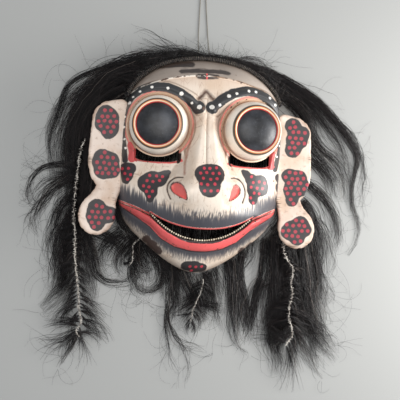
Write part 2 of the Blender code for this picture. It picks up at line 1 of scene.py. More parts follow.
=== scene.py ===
"""The looks of a carved and painted frog dance mask that lies face up, seen from above.

Places on the mask are in the mask's own frame, in millimetres: x to the right of the face, y up to the
crown, and height out of the face from the flat back rim.
"""

import math

import bmesh
import bpy
import numpy as np
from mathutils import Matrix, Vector


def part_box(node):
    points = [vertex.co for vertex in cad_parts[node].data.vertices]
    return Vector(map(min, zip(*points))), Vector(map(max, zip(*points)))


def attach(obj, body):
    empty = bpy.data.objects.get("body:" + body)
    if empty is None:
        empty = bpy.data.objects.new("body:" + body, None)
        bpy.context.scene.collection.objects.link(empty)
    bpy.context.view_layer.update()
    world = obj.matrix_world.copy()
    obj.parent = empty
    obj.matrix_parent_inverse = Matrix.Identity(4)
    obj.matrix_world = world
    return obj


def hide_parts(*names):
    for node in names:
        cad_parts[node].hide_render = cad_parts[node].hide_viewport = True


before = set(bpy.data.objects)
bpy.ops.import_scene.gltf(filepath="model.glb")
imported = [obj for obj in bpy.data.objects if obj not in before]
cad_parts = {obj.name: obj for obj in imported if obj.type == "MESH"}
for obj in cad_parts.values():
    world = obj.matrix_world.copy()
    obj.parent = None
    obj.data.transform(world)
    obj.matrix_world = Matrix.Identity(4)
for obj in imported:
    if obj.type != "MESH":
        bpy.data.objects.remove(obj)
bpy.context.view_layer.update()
bpy.ops.object.select_all(action="DESELECT")

# Camera. It looks down on the mask from a little to the left, and is rolled a little,
# so that the mask leans clockwise in the picture as it does in the photograph.
MM = 0.001
CHIN_DROP = 109.0
face_low, face_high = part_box("face")
MASK_MIDDLE = np.array([(face_low[0] + face_high[0]) / 2, face_low[1] + CHIN_DROP * MM, 0.0])

VIEW_TARGET = np.array([2.3, -32.9, 10.0])
VIEW_DISTANCE = 800.0
VIEW_FROM_LEFT = math.radians(6.3)
VIEW_ROLL = math.radians(3.2)
VIEW_LENS = 69.3
VIEW_SENSOR = 36.0
NEAREST_SEEN = 0.01
towards_camera = Vector((-math.sin(VIEW_FROM_LEFT), 0, math.cos(VIEW_FROM_LEFT)))
level_right = Vector((math.cos(VIEW_FROM_LEFT), 0, math.sin(VIEW_FROM_LEFT)))
picture_right = math.cos(VIEW_ROLL) * level_right + math.sin(VIEW_ROLL) * Vector((0, 1, 0))
picture_up = towards_camera.cross(picture_right)
camera_place = Vector(MASK_MIDDLE + MM * VIEW_TARGET) + MM * VIEW_DISTANCE * towards_camera
bpy.ops.object.camera_add(location=camera_place)
camera = bpy.context.object
camera.name = "camera"
camera.data.lens = VIEW_LENS
camera.data.sensor_width = VIEW_SENSOR
camera.data.clip_start = NEAREST_SEEN
for row in range(3):
    camera.matrix_world[row][0] = picture_right[row]
    camera.matrix_world[row][1] = picture_up[row]
    camera.matrix_world[row][2] = towards_camera[row]
bpy.context.scene.camera = camera
bpy.context.scene.view_settings.view_transform = "Standard"

# Floor and light. The mask lies on a plain pale surface, lit by a soft light near the camera
# and by a nearer one low on the right, which leaves the left of the floor darker.
FLOOR_SIZE = 6.0
bpy.ops.mesh.primitive_plane_add(size=FLOOR_SIZE, location=(0, 0, 0))
floor = bpy.context.object
floor.name = "floor"


def shade_node(tree, kind, inputs=None, **settings):
    """A node with its settings, and its inputs set to values or joined to other sockets."""
    made = tree.nodes.new("ShaderNode" + kind)
    for name, value in settings.items():
        setattr(made, name, value)
    for key, value in (inputs or {}).items():
        if isinstance(value, bpy.types.NodeSocket):
            tree.links.new(value, made.inputs[key])
        else:
            made.inputs[key].default_value = value
    return made


def paint(red, green, blue):
    """A paint colour as it looks on a screen, from 0 to 255, as the shader wants it."""
    return tuple(((c / 255 + 0.055) / 1.055) ** 2.4 if c > 10 else c / 255 / 12.92
                 for c in (red, green, blue)) + (1,)


def new_material(name):
    """A material with its Principled shader and its node tree."""
    made = bpy.data.materials.new(name)
    made.use_nodes = True
    return made, made.node_tree, made.node_tree.nodes["Principled BSDF"]


floor_paint, tree, shader = new_material("pale floor")
shader.inputs["Base Color"].default_value = paint(159, 160, 158)
shader.inputs["Roughness"].default_value = 0.9
shader.inputs["Specular IOR Level"].default_value = 0.1
floor.data.materials.append(floor_paint)

# Each light gives its name, place and size in metres, power and tint.
LIGHTS = (("front light", (-0.08, 0.12, 1.15), 0.8, 7.0, (1.0, 0.975, 0.95)),
          ("right light", (0.55, 0.03, 0.22), 0.3, 5.1, (1.0, 0.98, 0.96)))
ROOM_TINT = (0.92, 0.95, 1.0, 1)
ROOM_BRIGHTNESS = 0.59
for label, place, size, power, tint in LIGHTS:
    bpy.ops.object.light_add(type="AREA", location=place)
    lamp = bpy.context.object
    lamp.name = label
    lamp.data.size = size
    lamp.data.energy = power
    lamp.data.color = tint
    lamp.rotation_euler = Vector(place).to_track_quat("Z", "Y").to_euler()
world = bpy.data.worlds.new("soft room")
world.use_nodes = True
world.node_tree.nodes["Background"].inputs["Color"].default_value = ROOM_TINT
world.node_tree.nodes["Background"].inputs["Strength"].default_value = ROOM_BRIGHTNESS
bpy.context.scene.world = world

# Hanging thread: a thin grey thread, in by one small hole in the crown and out by the other.
# It lies on the surface and runs up out of the picture to the narrow end of its loop.
THREAD_DIAMETER = 1.0
THREAD_HOLES = (-8.0, 3.0)
THREAD_INSIDE_UP = 100.0
THREAD_HEIGHT = 12.0
CROWN_UP = 113.0
THREAD_LOW = THREAD_DIAMETER / 2 + 0.1
THREAD_DROP_UP = 138.0
THREAD_VIEW_UP = 176.0
THREAD_TOP_UP = 200.0
THREAD_HOLE_RADIUS = 1.3
THREAD_HOLE_DEPTH = 40.0


def smooth_route(points, steps, closed=False):
    """Points along a smooth curve through the given ones, with this many steps to each span."""
    pts = [np.array(p, float) for p in points]
    count = len(pts)
    out = []
    for i in range(count if closed else count - 1):
        if closed:
            p0, p1, p2, p3 = (pts[(i + k) % count] for k in (-1, 0, 1, 2))
        else:
            p1, p2 = pts[i], pts[i + 1]
            p0 = pts[i - 1] if i else 2 * p1 - p2
            p3 = pts[i + 2] if i + 2 < count else 2 * p2 - p1
        for k in range(steps):
            t = k / steps
            out.append(0.5 * (2 * p1 + (p2 - p0) * t + (2 * p0 - 5 * p1 + 4 * p2 - p3) * t ** 2
                              + (3 * p1 - p0 - 3 * p2 + p3) * t ** 3))
    if not closed:
        out.append(pts[-1])
    return np.array(out)


out_of_crown = ((THREAD_INSIDE_UP, THREAD_HEIGHT), (CROWN_UP - 3, THREAD_HEIGHT),
                (CROWN_UP + 7, THREAD_HEIGHT - 0.3))
on_surface = ((THREAD_HOLES[0], THREAD_DROP_UP), (THREAD_HOLES[0], THREAD_VIEW_UP),
              (-7.4, THREAD_TOP_UP), (-5.0, THREAD_TOP_UP + 2.4), (-2.6, THREAD_TOP_UP),
              (-2.0, THREAD_VIEW_UP), (2.0, THREAD_DROP_UP))
thread_line = [(THREAD_HOLES[0], y, z) for y, z in out_of_crown]
thread_line += [(x, y, THREAD_LOW) for x, y in on_surface]
thread_line += [(THREAD_HOLES[1], y, z) for y, z in reversed(out_of_crown)]
thread_points = smooth_route(thread_line, 4)
thread_points[:, 2] = np.maximum(thread_points[:, 2], THREAD_LOW)
thread_points = thread_points * MM + MASK_MIDDLE
thread_curve = bpy.data.curves.new("hanging_loop", "CURVE")
thread_curve.dimensions = "3D"
thread_curve.bevel_depth = THREAD_DIAMETER / 2 * MM
thread_curve.bevel_resolution = 3
thread_curve.use_fill_caps = True
thread_spline = thread_curve.splines.new("POLY")
thread_spline.points.add(len(thread_points) - 1)
for point, place in zip(thread_spline.points, thread_points):
    point.co = (*place, 1)
thread = bpy.data.objects.new("hanging_loop", thread_curve)
bpy.context.scene.collection.objects.link(thread)


def raised(tree, shader, height, depth, strength):
    """Bumps on a material's surface, this deep in metres, where the height changes."""
    bump = shade_node(tree, "Bump", {"Height": height, "Distance": depth, "Strength": strength})
    tree.links.new(bump.outputs["Normal"], shader.inputs["Normal"])


thread_material, tree, shader = new_material("grey thread")
place = shade_node(tree, "TexCoord").outputs["Object"]
twist = shade_node(tree, "TexWave", {"Vector": place, "Scale": 420.0, "Distortion": 2.0},
                   bands_direction="DIAGONAL")
colour = shade_node(tree, "Mix", {"Factor": twist.outputs["Fac"], "A": paint(96, 92, 84),
                                  "B": paint(150, 146, 136)}, data_type="RGBA")
tree.links.new(colour.outputs[2], shader.inputs["Base Color"])
raised(tree, shader, twist.outputs["Fac"], 0.0002, 0.8)
shader.inputs["Roughness"].default_value = 0.75
thread_curve.materials.append(thread_material)
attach(thread, "root")
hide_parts("hanging_thread")

# Face: one block of light wood, carved, hollowed from behind to a shell and painted off-white.
# Its brows, sockets, nose, lips and mouth opening are all cut in the one block.
FACE_HALF_WIDTH = 84.0
FACE_DEPTH = 52.0
FACE_ROUNDNESS = 2.8
WALL = 9.0
CROWN_OUTLINE = ((1.0, 0.0), (0.982, 0.262), (0.938, 0.488), (0.858, 0.679), (0.761, 0.821),
                 (0.664, 0.905), (0.531, 0.958), (0.354, 0.988), (0.133, 1.0))
CHIN_OUTLINE = ((0.138, 1.0), (0.321, 0.982), (0.440, 0.945), (0.541, 0.883), (0.633, 0.783),
                (0.716, 0.663), (0.798, 0.532), (0.870, 0.405), (0.934, 0.268), (0.980, 0.130), (1.0, 0.0))
EYE_OUT = 46.5
EYE_UP = 38.5
SOCKET_RADIUS = 31.5
LID_UP = 1.5
LID_HALF_WIDTH = 23.0
LID_CORNER = 4.0
FOREHEAD_RISE = 8.0
CREST_UP, CREST_FALL, CREST_HALF_WIDTH = 90, 14, 65
MUZZLE_HALF_WIDTH, MUZZLE_HALF_HEIGHT = 80, 44
MUZZLE_RISE, MUZZLE_HOLLOW = 24, 20.4
NOSE_RISE = 31
SOCKET_DEPTH = 4.0
BROW_RISE, BROW_SPREAD = 4.5, 6.2
LIP_RISE, LIP_HALF_HEIGHT = 6.0, 6.0
JAW_STEP = 4.0
MUZZLE_UP = -46.0
NOSE_TIP_UP = -14.0
MOUTH_HALF_WIDTH = 51.0
# Each edge of the mouth gives its height in the middle, its rise to the corners, and how late it rises.
UPPER_EDGE, LOWER_EDGE = (-61.0, 13.5, 2.3), (-72.5, 25.0, 2.2)
LIP_LINE = ((0, -78.5), (12, -77.9), (24, -74.8), (38, -66.6), (50, -55.8), (64, -48.5), (80, -40.5))
ALAR_GROOVES = (((-22.3, -12.4), (-27.5, -12.6), (-32.2, -15.5), (-35.2, -20.5), (-35.4, -26.5),
                 (-32.6, -33.4)), ((25.8, -10.2), (31.5, -9.6), (37.0, -12.0), (40.8, -17.8), (41.5, -25.0),
                                   (38.4, -33.5)))
LEFT_NOSTRIL, RIGHT_NOSTRIL = (-24.8, -25.8), (28.3, -24.8)
NOSTRIL_LENGTH, NOSTRIL_WIDTH = 9.8, 4.9
NOSTRIL_TURN = math.radians(50)


def smooth(t):
    """0 below 0, 1 above 1, and a smooth rise between."""
    t = np.clip(t, 0.0, 1.0)
    return t * t * (3 - 2 * t)


half_outline = [(w * FACE_HALF_WIDTH, -h * CHIN_DROP) for h, w in reversed(CHIN_OUTLINE)]
half_outline += [(w * FACE_HALF_WIDTH, h * CROWN_UP) for h, w in reversed(CROWN_OUTLINE)]
rim_line = smooth_route(half_outline + [(-x, y) for x, y in reversed(half_outline[1:-1])], 8, closed=True)
rim_angles = np.unwrap(np.arctan2(rim_line[:, 1], rim_line[:, 0]))
rim_angles = np.append(rim_angles, rim_angles[0] + 2 * math.pi)
rim_reach = np.hypot(rim_line[:, 0], rim_line[:, 1])
rim_reach = np.append(rim_reach, rim_reach[0])


def rim_radius(angle):
    """How far the back rim is from the middle of the face in this direction."""
    return np.interp((np.asarray(angle) - rim_angles[0]) % (2 * math.pi) + rim_angles[0], rim_angles,
                     rim_reach)


def chain_distance(x, y, points):
    """Distance from a chain of straight pieces, seen from the front."""
    best = np.full(np.shape(x), 1e9)
    for (ax, ay), (bx, by) in zip(points, points[1:]):
        dx, dy = bx - ax, by - ay
        t = np.clip(((x - ax) * dx + (y - ay) * dy) / (dx * dx + dy * dy), 0, 1)
        best = np.minimum(best, np.hypot(x - ax - t * dx, y - ay - t * dy))
    return best


def socket_distance(x, y):
    """Distance to the edge of the eye socket, a circle with a squarer lower lid. Negative inside."""
    ax = np.abs(x) - EYE_OUT
    qx = np.abs(ax) - (LID_HALF_WIDTH - LID_CORNER)
    qy = np.abs(y - (LID_UP + EYE_UP) / 2) - ((EYE_UP - LID_UP) / 2 - LID_CORNER)
    box = np.hypot(np.maximum(qx, 0), np.maximum(qy, 0)) + np.minimum(np.maximum(qx, qy), 0)
    box -= LID_CORNER
    return np.minimum(np.hypot(ax, y - EYE_UP) - SOCKET_RADIUS, box)


def mouth_edge(x, edge):
    """Height of an edge of the mouth opening."""
    middle, rise, lateness = edge
    return middle + rise * np.clip(np.abs(x) / MOUTH_HALF_WIDTH, 0, 1) ** lateness


def nostril_drop(x, y):
    """1 on the edge of a nostril, a drop that points down and inwards, and less inside it."""
    nx = np.where(x < 0, LEFT_NOSTRIL[0] - x, x - RIGHT_NOSTRIL[0])
    ny = np.where(x < 0, y - LEFT_NOSTRIL[1], y - RIGHT_NOSTRIL[1])
    u = nx * math.cos(NOSTRIL_TURN) + ny * math.sin(NOSTRIL_TURN)
    v = -nx * math.sin(NOSTRIL_TURN) + ny * math.cos(NOSTRIL_TURN)
    narrowing = np.maximum(1 + 0.5 * u / NOSTRIL_LENGTH, 0.12)
    return np.hypot(u / NOSTRIL_LENGTH, v / (NOSTRIL_WIDTH * narrowing))


def crest_line(x):
    """Height of the forehead's crest, which falls towards the temples."""
    return CREST_UP - CREST_FALL * (x / CREST_HALF_WIDTH) ** 2


def muzzle(x, y):
    """1 in the middle of the muzzle's bulge, falling to 0 at its edge."""
    away = np.hypot(x / MUZZLE_HALF_WIDTH, (y - MUZZLE_UP) / MUZZLE_HALF_HEIGHT)
    return np.clip(1 - away ** 2, 0, 1) ** 2


lip_x, lip_y = np.array(LIP_LINE, float).T
alar_lines = [[tuple(p) for p in smooth_route(groove, 5)] for groove in ALAR_GROOVES]
brow_route = [(0.17 * EYE_OUT, EYE_UP + 17.5), (0.34 * EYE_OUT, EYE_UP + 26.5)]
for degrees in range(118, -65, -14):
    turn = math.radians(degrees)
    reach = 37.5 - 4.5 * (1 - math.sin(turn)) * (degrees < 90)
    brow_route.append((EYE_OUT + reach * math.cos(turn), EYE_UP + reach * math.sin(turn)))
BROW_LINE = [tuple(p) for p in smooth_route(brow_route, 3)]


def carving(x, y):
    """What the carving adds to the plain dome of the face, in millimetres."""
    ax = np.abs(x)
    crest = crest_line(x)
    added = FOREHEAD_RISE * smooth((y - EYE_UP) / 30) * smooth((crest + 20 - y) / 20)
    added += 0.7 * np.exp(-((y - crest) / 1.1) ** 2) * smooth((66 - ax) / 10)
    added += MUZZLE_RISE * muzzle(x, y)

    top = EYE_UP + 32
    along = np.clip((top - y) / (top - NOSE_TIP_UP), 0, 1)
    width = 9 + 20 * along ** 2.2
    ridge = NOSE_RISE * (0.22 * smooth(along * 4) + 0.78 * along ** 1.5)
    beside = smooth((ax - 0.45 * width) / (0.85 * width))
    added += ridge * smooth((y - (NOSE_TIP_UP - 40)) / 40) * (1 - beside)
    groove = 0.9 * np.exp(-((x + 0.8) / 1.2) ** 2) * smooth((y - NOSE_TIP_UP - 8) / 10)
    added -= groove * smooth((top - y) / 10)
    added -= 1.0 * np.exp(-(chain_distance(x, y, ((-10, 66), (-2.5, 74), (5, 67))) / 1.3) ** 2)

    added += 4.5 * (1 - smooth((np.hypot(ax - 26.5, y + 25) - 5) / 8.75))
    drop = nostril_drop(x, y)
    added += 0.7 * np.exp(-((drop - 1.1) / 0.18) ** 2)
    added -= 5.0 * (1 - smooth((drop - 0.62) / 0.4))
    for groove in alar_lines:
        added -= 1.1 * np.exp(-(chain_distance(x, y, groove) / 1.1) ** 2)

    socket = socket_distance(x, y)
    added -= SOCKET_DEPTH * smooth(-socket / 2.5)
    above_lid = smooth((y - LID_UP - 3) / 12)
    added += above_lid * (2.5 * np.exp(-((socket - 1.2) / 1.4) ** 2) - 0.5
                          * np.exp(-((socket - 3.4) / 0.6) ** 2))
    brow = chain_distance(ax, y, BROW_LINE)
    added += BROW_RISE * np.clip(1 - (brow / BROW_SPREAD) ** 2, 0, 1) * smooth((socket - 1) / 3)

    half = LIP_HALF_HEIGHT * (1 - 0.45 * smooth(ax / 80))
    lip_middle = np.interp(ax, lip_x, lip_y)
    roll = np.minimum(np.abs(y - lip_middle) / half, 1)
    added += LIP_RISE * np.sqrt(np.clip(1 - roll ** 2.5, 0, 1)) * smooth((83 - ax) / 20)
    added -= 0.8 * np.exp(-((y - lip_middle + half + 0.8) / 0.9) ** 2) * smooth((80 - ax) / 8)
    step = smooth((y - mouth_edge(x, UPPER_EDGE)) / 4 + 0.5)
    added += JAW_STEP * step * smooth((-17.5 - y) / 30) * smooth((80 - ax) / 25)
    return added


def face_height(x, y):
    """Height of the outer surface."""
    share = np.clip(np.hypot(x, y) / rim_radius(np.arctan2(y, x)), 0, 1)
    dome = FACE_DEPTH * (1 - share ** FACE_ROUNDNESS) ** (1 / FACE_ROUNDNESS)
    return dome + carving(x, y) * smooth((1 - share) / 0.07)


def hollow_height(x, y):
    """Height of the hollow behind the face."""
    share = np.clip(np.hypot(x, y) / (rim_radius(np.arctan2(y, x)) - WALL), 0, 1)
    dome = (FACE_DEPTH - WALL) * (1 - share ** FACE_ROUNDNESS) ** (1 / FACE_ROUNDNESS)
    nose = 17 * np.exp(-(x / 18) ** 2 - ((y - NOSE_TIP_UP) / 30) ** 2)
    gouges = 0.35 * np.sin(x / 3.1 + 1.5 * np.sin(y / 17)) * np.sin(y / 8.3 + x / 21)
    return dome + (MUZZLE_HOLLOW * muzzle(x, y) + nose + gouges) * smooth((1 - share) / 0.25)


def polar_places(segments, rings, reach_of, height_of):
    """Rings of places from the rim up to near the middle, which crowd towards the steep rim."""
    angle = np.linspace(0, 2 * math.pi, segments, endpoint=False)
    share = np.cos(np.arange(rings) / rings * math.pi / 2) ** (2 / FACE_ROUNDNESS)
    x = np.outer(share, reach_of(angle) * np.cos(angle)).ravel()
    y = np.outer(share, reach_of(angle) * np.sin(angle)).ravel()
    places = np.stack([x, y, height_of(x, y)], axis=1)
    places[:segments, 2] = 0
    middle = (0, 0, float(height_of(np.zeros(1), np.zeros(1))[0]))
    return np.vstack([places, middle])


def ring_faces(segments, rings, start=0):
    """Quads between neighbouring rings, and a fan to the middle."""
    quads = []
    for ring in range(rings - 1):
        low, high = start + ring * segments, start + (ring + 1) * segments
        quads += [(low + i, low + (i + 1) % segments, high + (i + 1) % segments, high + i)
                  for i in range(segments)]
    last, middle = start + (rings - 1) * segments, start + rings * segments
    return quads + [(last + i, last + (i + 1) % segments, middle) for i in range(segments)]


def mesh_object(name, places, faces, *materials):
    """An object whose mesh has these places, in the mask's frame, with its faces pointing outwards."""
    mesh = bpy.data.meshes.new(name)
    mesh.from_pydata((np.asarray(places) * MM + MASK_MIDDLE).tolist(), [], faces)
    made = bpy.data.objects.new(name, mesh)
    bpy.context.scene.collection.objects.link(made)
    for one in materials:
        mesh.materials.append(one)
    tidy = bmesh.new()
    tidy.from_mesh(mesh)
    bmesh.ops.recalc_face_normals(tidy, faces=tidy.faces)
    tidy.to_mesh(mesh)
    tidy.free()
    return made


def apply_boolean(target, cutter, operation="DIFFERENCE"):
    """Cuts or joins with another object, which is then removed."""
    bpy.ops.object.select_all(action="DESELECT")
    bpy.context.view_layer.objects.active = target
    cut = target.modifiers.new("cut", "BOOLEAN")
    cut.operation = operation
    cut.object = cutter
    bpy.ops.object.modifier_apply(modifier=cut.name)
    bpy.data.objects.remove(cutter)


def shade_by_angle(obj, degrees):
    """Smooth shading that leaves the edges sharper than this angle."""
    bpy.ops.object.select_all(action="DESELECT")
    obj.select_set(True)
    bpy.context.view_layer.objects.active = obj
    bpy.ops.object.shade_smooth_by_angle(angle=math.radians(degrees))


def upright_cutter(name, outline, material):
    """A prism on an outline given as x and y, which reaches right through the face, to cut with."""
    count = len(outline)
    places = [(x, y, z) for z in (CUT_LOW, CUT_HIGH) for x, y in outline]
    sides = [(i, (i + 1) % count, count + (i + 1) % count, count + i) for i in range(count)]
    return mesh_object(name, places, sides + [tuple(range(count)), tuple(range(count, 2 * count))],
                       material)


CUT_LOW, CUT_HIGH = -5, 150
SLIT_HALF_WIDTH = 21
SLIT_TOP_RADIUS = 31
FACE_SEGMENTS = 480
FACE_RINGS = 186
HOLLOW_SEGMENTS = FACE_SEGMENTS // 2
HOLLOW_RINGS = 50
outer = polar_places(FACE_SEGMENTS, FACE_RINGS, rim_radius, face_height)
inner = polar_places(HOLLOW_SEGMENTS, HOLLOW_RINGS, lambda a: rim_radius(a) - WALL, hollow_height)
faces = ring_faces(FACE_SEGMENTS, FACE_RINGS)
outer_faces = len(faces)
faces += ring_faces(HOLLOW_SEGMENTS, HOLLOW_RINGS, len(outer))
for i in range(HOLLOW_SEGMENTS):
    a, b = len(outer) + i, len(outer) + (i + 1) % HOLLOW_SEGMENTS
    faces.append((2 * i, 2 * i + 1, (2 * i + 2) % FACE_SEGMENTS, b, a))

face_paint, face_tree, face_shader = new_material("painted face")
bare_wood, wood_tree, wood_shader = new_material("bare wood inside")
mouth_paint_and_shade, mouth_tree, mouth_shader = new_material("dark paint and painted shade inside the mouth and slits")
face = mesh_object("carved_face", np.vstack([outer, inner]), faces, face_paint, bare_wood, mouth_paint_and_shade)
for polygon in face.data.polygons:
    polygon.material_index = 0 if polygon.index < outer_faces else 1

mouth_x = np.linspace(-MOUTH_HALF_WIDTH, MOUTH_HALF_WIDTH, 61)
mouth_outline = list(zip(mouth_x, mouth_edge(mouth_x, UPPER_EDGE)))
mouth_outline += list(zip(mouth_x[1:-1], mouth_edge(mouth_x[1:-1], LOWER_EDGE)))[::-1]
apply_boolean(face, upright_cutter("mouth cut", mouth_outline, mouth_paint_and_shade))
slit_x = np.linspace(-SLIT_HALF_WIDTH, SLIT_HALF_WIDTH, 31)
slit_outline = list(zip(slit_x, LID_UP + 1 + 3 * np.abs(slit_x / SLIT_HALF_WIDTH) ** 4))
slit_outline += list(zip(slit_x, EYE_UP - np.sqrt(SLIT_TOP_RADIUS ** 2 - slit_x ** 2)))[::-1]
for side in (-1, 1):
    moved = [(x + side * EYE_OUT, y) for x, y in slit_outline]
    apply_boolean(face, upright_cutter("slit cut", moved, mouth_paint_and_shade))
for hole in THREAD_HOLES:
    bpy.ops.mesh.primitive_cylinder_add(vertices=20, radius=THREAD_HOLE_RADIUS * MM,
                                        depth=THREAD_HOLE_DEPTH * MM, rotation=(math.pi / 2, 0, 0),
                                        location=np.array([hole, CROWN_UP, THREAD_HEIGHT]) * MM
                                        + MASK_MIDDLE)
    drill = bpy.context.object
    drill.data.materials.append(bare_wood)
    apply_boolean(face, drill)

# The face's paint is laid out as distances to the edges of each painted shape, kept on its vertices.
# Spots are made of discs, each with its middle and radius. Lines go from the middle to the cheek.
NOSE_SPOT = ((-3.7, -8.2, 8.5), (8.8, -7.4, 8.5), (2.6, -4.9, 6.6), (2.0, -19.8, 10.3))
CHEEK_SPOTS = (((-56.0, -19.2, 8.4), (-50.4, -13.9, 6.9), (-42.6, -15.5, 6.4), (-39.0, -10.9, 4.4),
                (-34.8, -7.2, 2.0), (-50.9, -26.8, 6.4), (-51.6, -34.6, 3.4)),
               ((-77.2, -5.1, 5.1), (-71.3, -5.0, 5.0), (-74.8, -12.0, 6.1), (-75.5, -18.1, 3.0)),
               ((38.6, -1.8, 1.0), (42.5, -4.5, 3.5), (48.1, -10.2, 5.9), (58.0, -12.5, 8.0),
                (60.6, -18.4, 7.0), (51.6, -19.9, 7.9), (50.2, -30.0, 4.9)),
               ((79.5, -5.6, 4.1), (81.5, -15.7, 4.7), (82.0, -28.2, 4.2)))
CHIN_SPOTS = (((-10.1, -100.6, 5.1), (-2.1, -101.1, 6.6), (6.4, -101.9, 5.1)),
              ((-52.0, -75.3, 4.1), (-45.6, -81.2, 5.1), (-39.1, -87.1, 4.1)),
              ((47.1, -83.3, 4.1), (57.0, -79.0, 5.2), (67.0, -72.2, 4.2)))
BROW_BEADS = ((-55.5, 75.0, 1.4), (-66.8, 70.5, 1.2), (-73.3, 65.4, 1.1), (-76.3, 60.0, 1.6),
              (-80.0, 46.7, 1.1), (-80.4, 36.4, 1.3), (-79.3, 24.0, 1.0), (-77.8, 15.0, 1.2),
              (-40.1, 74.4, 1.4), (-26.9, 69.5, 2.0), (-16.2, 61.0, 1.2), (-8.9, 57.3, 2.2),
              (3.2, 58.0, 2.3), (11.2, 60.8, 1.4), (19.9, 70.5, 1.9), (27.8, 73.6, 1.5), (40.2, 77.4, 1.5),
              (47.5, 77.2, 1.4), (63.0, 72.9, 1.4), (69.4, 66.7, 1.3), (79.5, 57.3, 1.3), (81.0, 49.0, 1.3),
              (81.5, 39.0, 1.1), (79.0, 27.0, 1.1), (76.5, 15.6, 1.1))
LEFT_BROW = ((-10.2, 56.4), (-18.3, 63.7), (-28.4, 71.0), (-40.1, 75.4), (-55.5, 76.1), (-66.9, 72.2),
             (-76.1, 65.7), (-80.4, 56.8), (-81.8, 44.3), (-82.0, 28.6), (-79.2, 13.0), (-77.6, 2.9))
RIGHT_BROW = ((4.0, 56.9), (13.6, 66.6), (24.0, 73.4), (38.4, 77.6), (49.8, 76.6), (60.2, 72.2),
              (69.6, 65.0), (77.4, 56.8), (80.2, 45.8), (80.6, 29.0), (78.0, 14.6), (75.0, 3.0))
WHISKER_TOP = ((0, -51.0), (15, -50.8), (25, -48.5), (33, -46.3), (42, -44), (52, -40.5), (61, -34.5),
               (71, -31), (84, -26))
LIP_TOP = ((0, -75.2), (12, -74.6), (20, -72.2), (33, -65.9), (43, -58.2), (51, -50.6), (65, -44.8),
           (84, -39))
LIP_BOTTOM = ((0, -84.3), (8, -84.2), (24, -81), (38, -73.5), (50, -62.0), (64, -53), (84, -41))
BAND_BOTTOM = ((0, -92.8), (8, -92.8), (25, -89.5), (40, -81.5), (53, -72), (68, -62.0), (84, -49))
EYE_CORNER_REDS = (((-73.6, 18.8), (-71.4, 11.9), (-70.9, 5.0)), ((71.0, 17.8), (69.6, 11.3), (69.3, 5.3)))
DOT_SPACING = 6.2
DOT_MARGIN = 9
DOT_INSIDE = 1.9
DOT_RADIUS = 1.5
BROW_KNOBS = ((-9.4, 57.2, 6.4), (3.8, 57.6, 6.4))
FROWN = ((-10, 65.0), (-2.6, 74.0), (4.8, 66.2))
# Lines of painted shadow down each side of the nose, in the creases from the eyes towards the nostrils.
CREASE_SHADOW_LINES = (((-12.5, 41.3), (-14.6, 27.4), (-17.8, 13.4), (-20.3, 1.4), (-20.8, -9.5)),
           ((14.0, 29.3), (18.7, 17.7), (24.2, 8.2), (28.5, -1.6)))
# Each streak of the forehead gives its line and its half width.
STREAKS = ((((-46, 101.6), (-32.5, 103.2), (-17, 103.4)), 4.2),
           (((-26.4, 93.9), (-8.6, 95.4), (13.8, 96.0), (20, 95.2)), 2.6),
           (((-9.7, 89.0), (8.2, 90.0)), 2.8))


def disc_field(x, y, discs, blend=1.6):
    """Distance to the edge of a rounded shape made of discs. Negative inside."""
    total = np.zeros(np.shape(x))
    for disc_x, disc_y, radius in discs:
        total += np.exp(-np.clip((np.hypot(x - disc_x, y - disc_y) - radius) / blend, -30, 60))
    return -blend * np.log(np.maximum(total, 1e-30))


def scattered_dots(discs, seed):
    """Places for the red dots inside a spot, staggered as a painter would dab them."""
    chance = np.random.default_rng(seed)
    xs = [d[0] for d in discs]
    ys = [d[1] for d in discs]
    found = []
    rows = np.arange(min(ys) - DOT_MARGIN, max(ys) + DOT_MARGIN, DOT_SPACING * 0.87)
    for row, y in enumerate(rows):
        across = np.arange(min(xs) - DOT_MARGIN, max(xs) + DOT_MARGIN, DOT_SPACING)
        for x in across + (row % 2) * DOT_SPACING / 2:
            x2, y2 = x + chance.uniform(-0.8, 0.8), y + chance.uniform(-0.8, 0.8)
            if disc_field(np.array(x2), np.array(y2), discs) < -DOT_INSIDE:
                found.append((x2, y2))
    return found


def mask_places(obj, of_faces=False):
    """The places of an object's vertices, or of its faces' middles, in the mask's frame in millimetres."""
    items = obj.data.polygons if of_faces else obj.data.vertices
    flat = np.empty(len(items) * 3)
    items.foreach_get("center" if of_faces else "co", flat)
    return (flat.reshape(-1, 3) - MASK_MIDDLE) / MM


def keep_value(obj, name, values):
    """Keeps one number for each vertex, for the materials to read."""
    made = obj.data.attributes.new(name, "FLOAT", "POINT")
    made.data.foreach_set("value", np.asarray(values, np.float32))


def keep_nearest(obj, name, marks):
    """Keeps on each face the nearest mark, as its x and y in the row frame and its radius."""
    centres = mask_places(obj, of_faces=True)
    marks = np.array(marks, float)
    nearest = np.argmin(np.hypot(centres[:, :1] - marks[:, 0], centres[:, 1:2] - marks[:, 1]), axis=1)
    chosen = marks[nearest].copy()
    chosen *= MM
    chosen[:, :2] += MASK_MIDDLE[:2]
    made = obj.data.attributes.new(name, "FLOAT_VECTOR", "FACE")
    made.data.foreach_set("vector", chosen.astype(np.float32).ravel())


def along(points, x):
    """Height of a painted line that is the same on both sides of the face."""
    xs, ys = np.array(points, float).T
    return np.interp(np.abs(x), xs, ys)


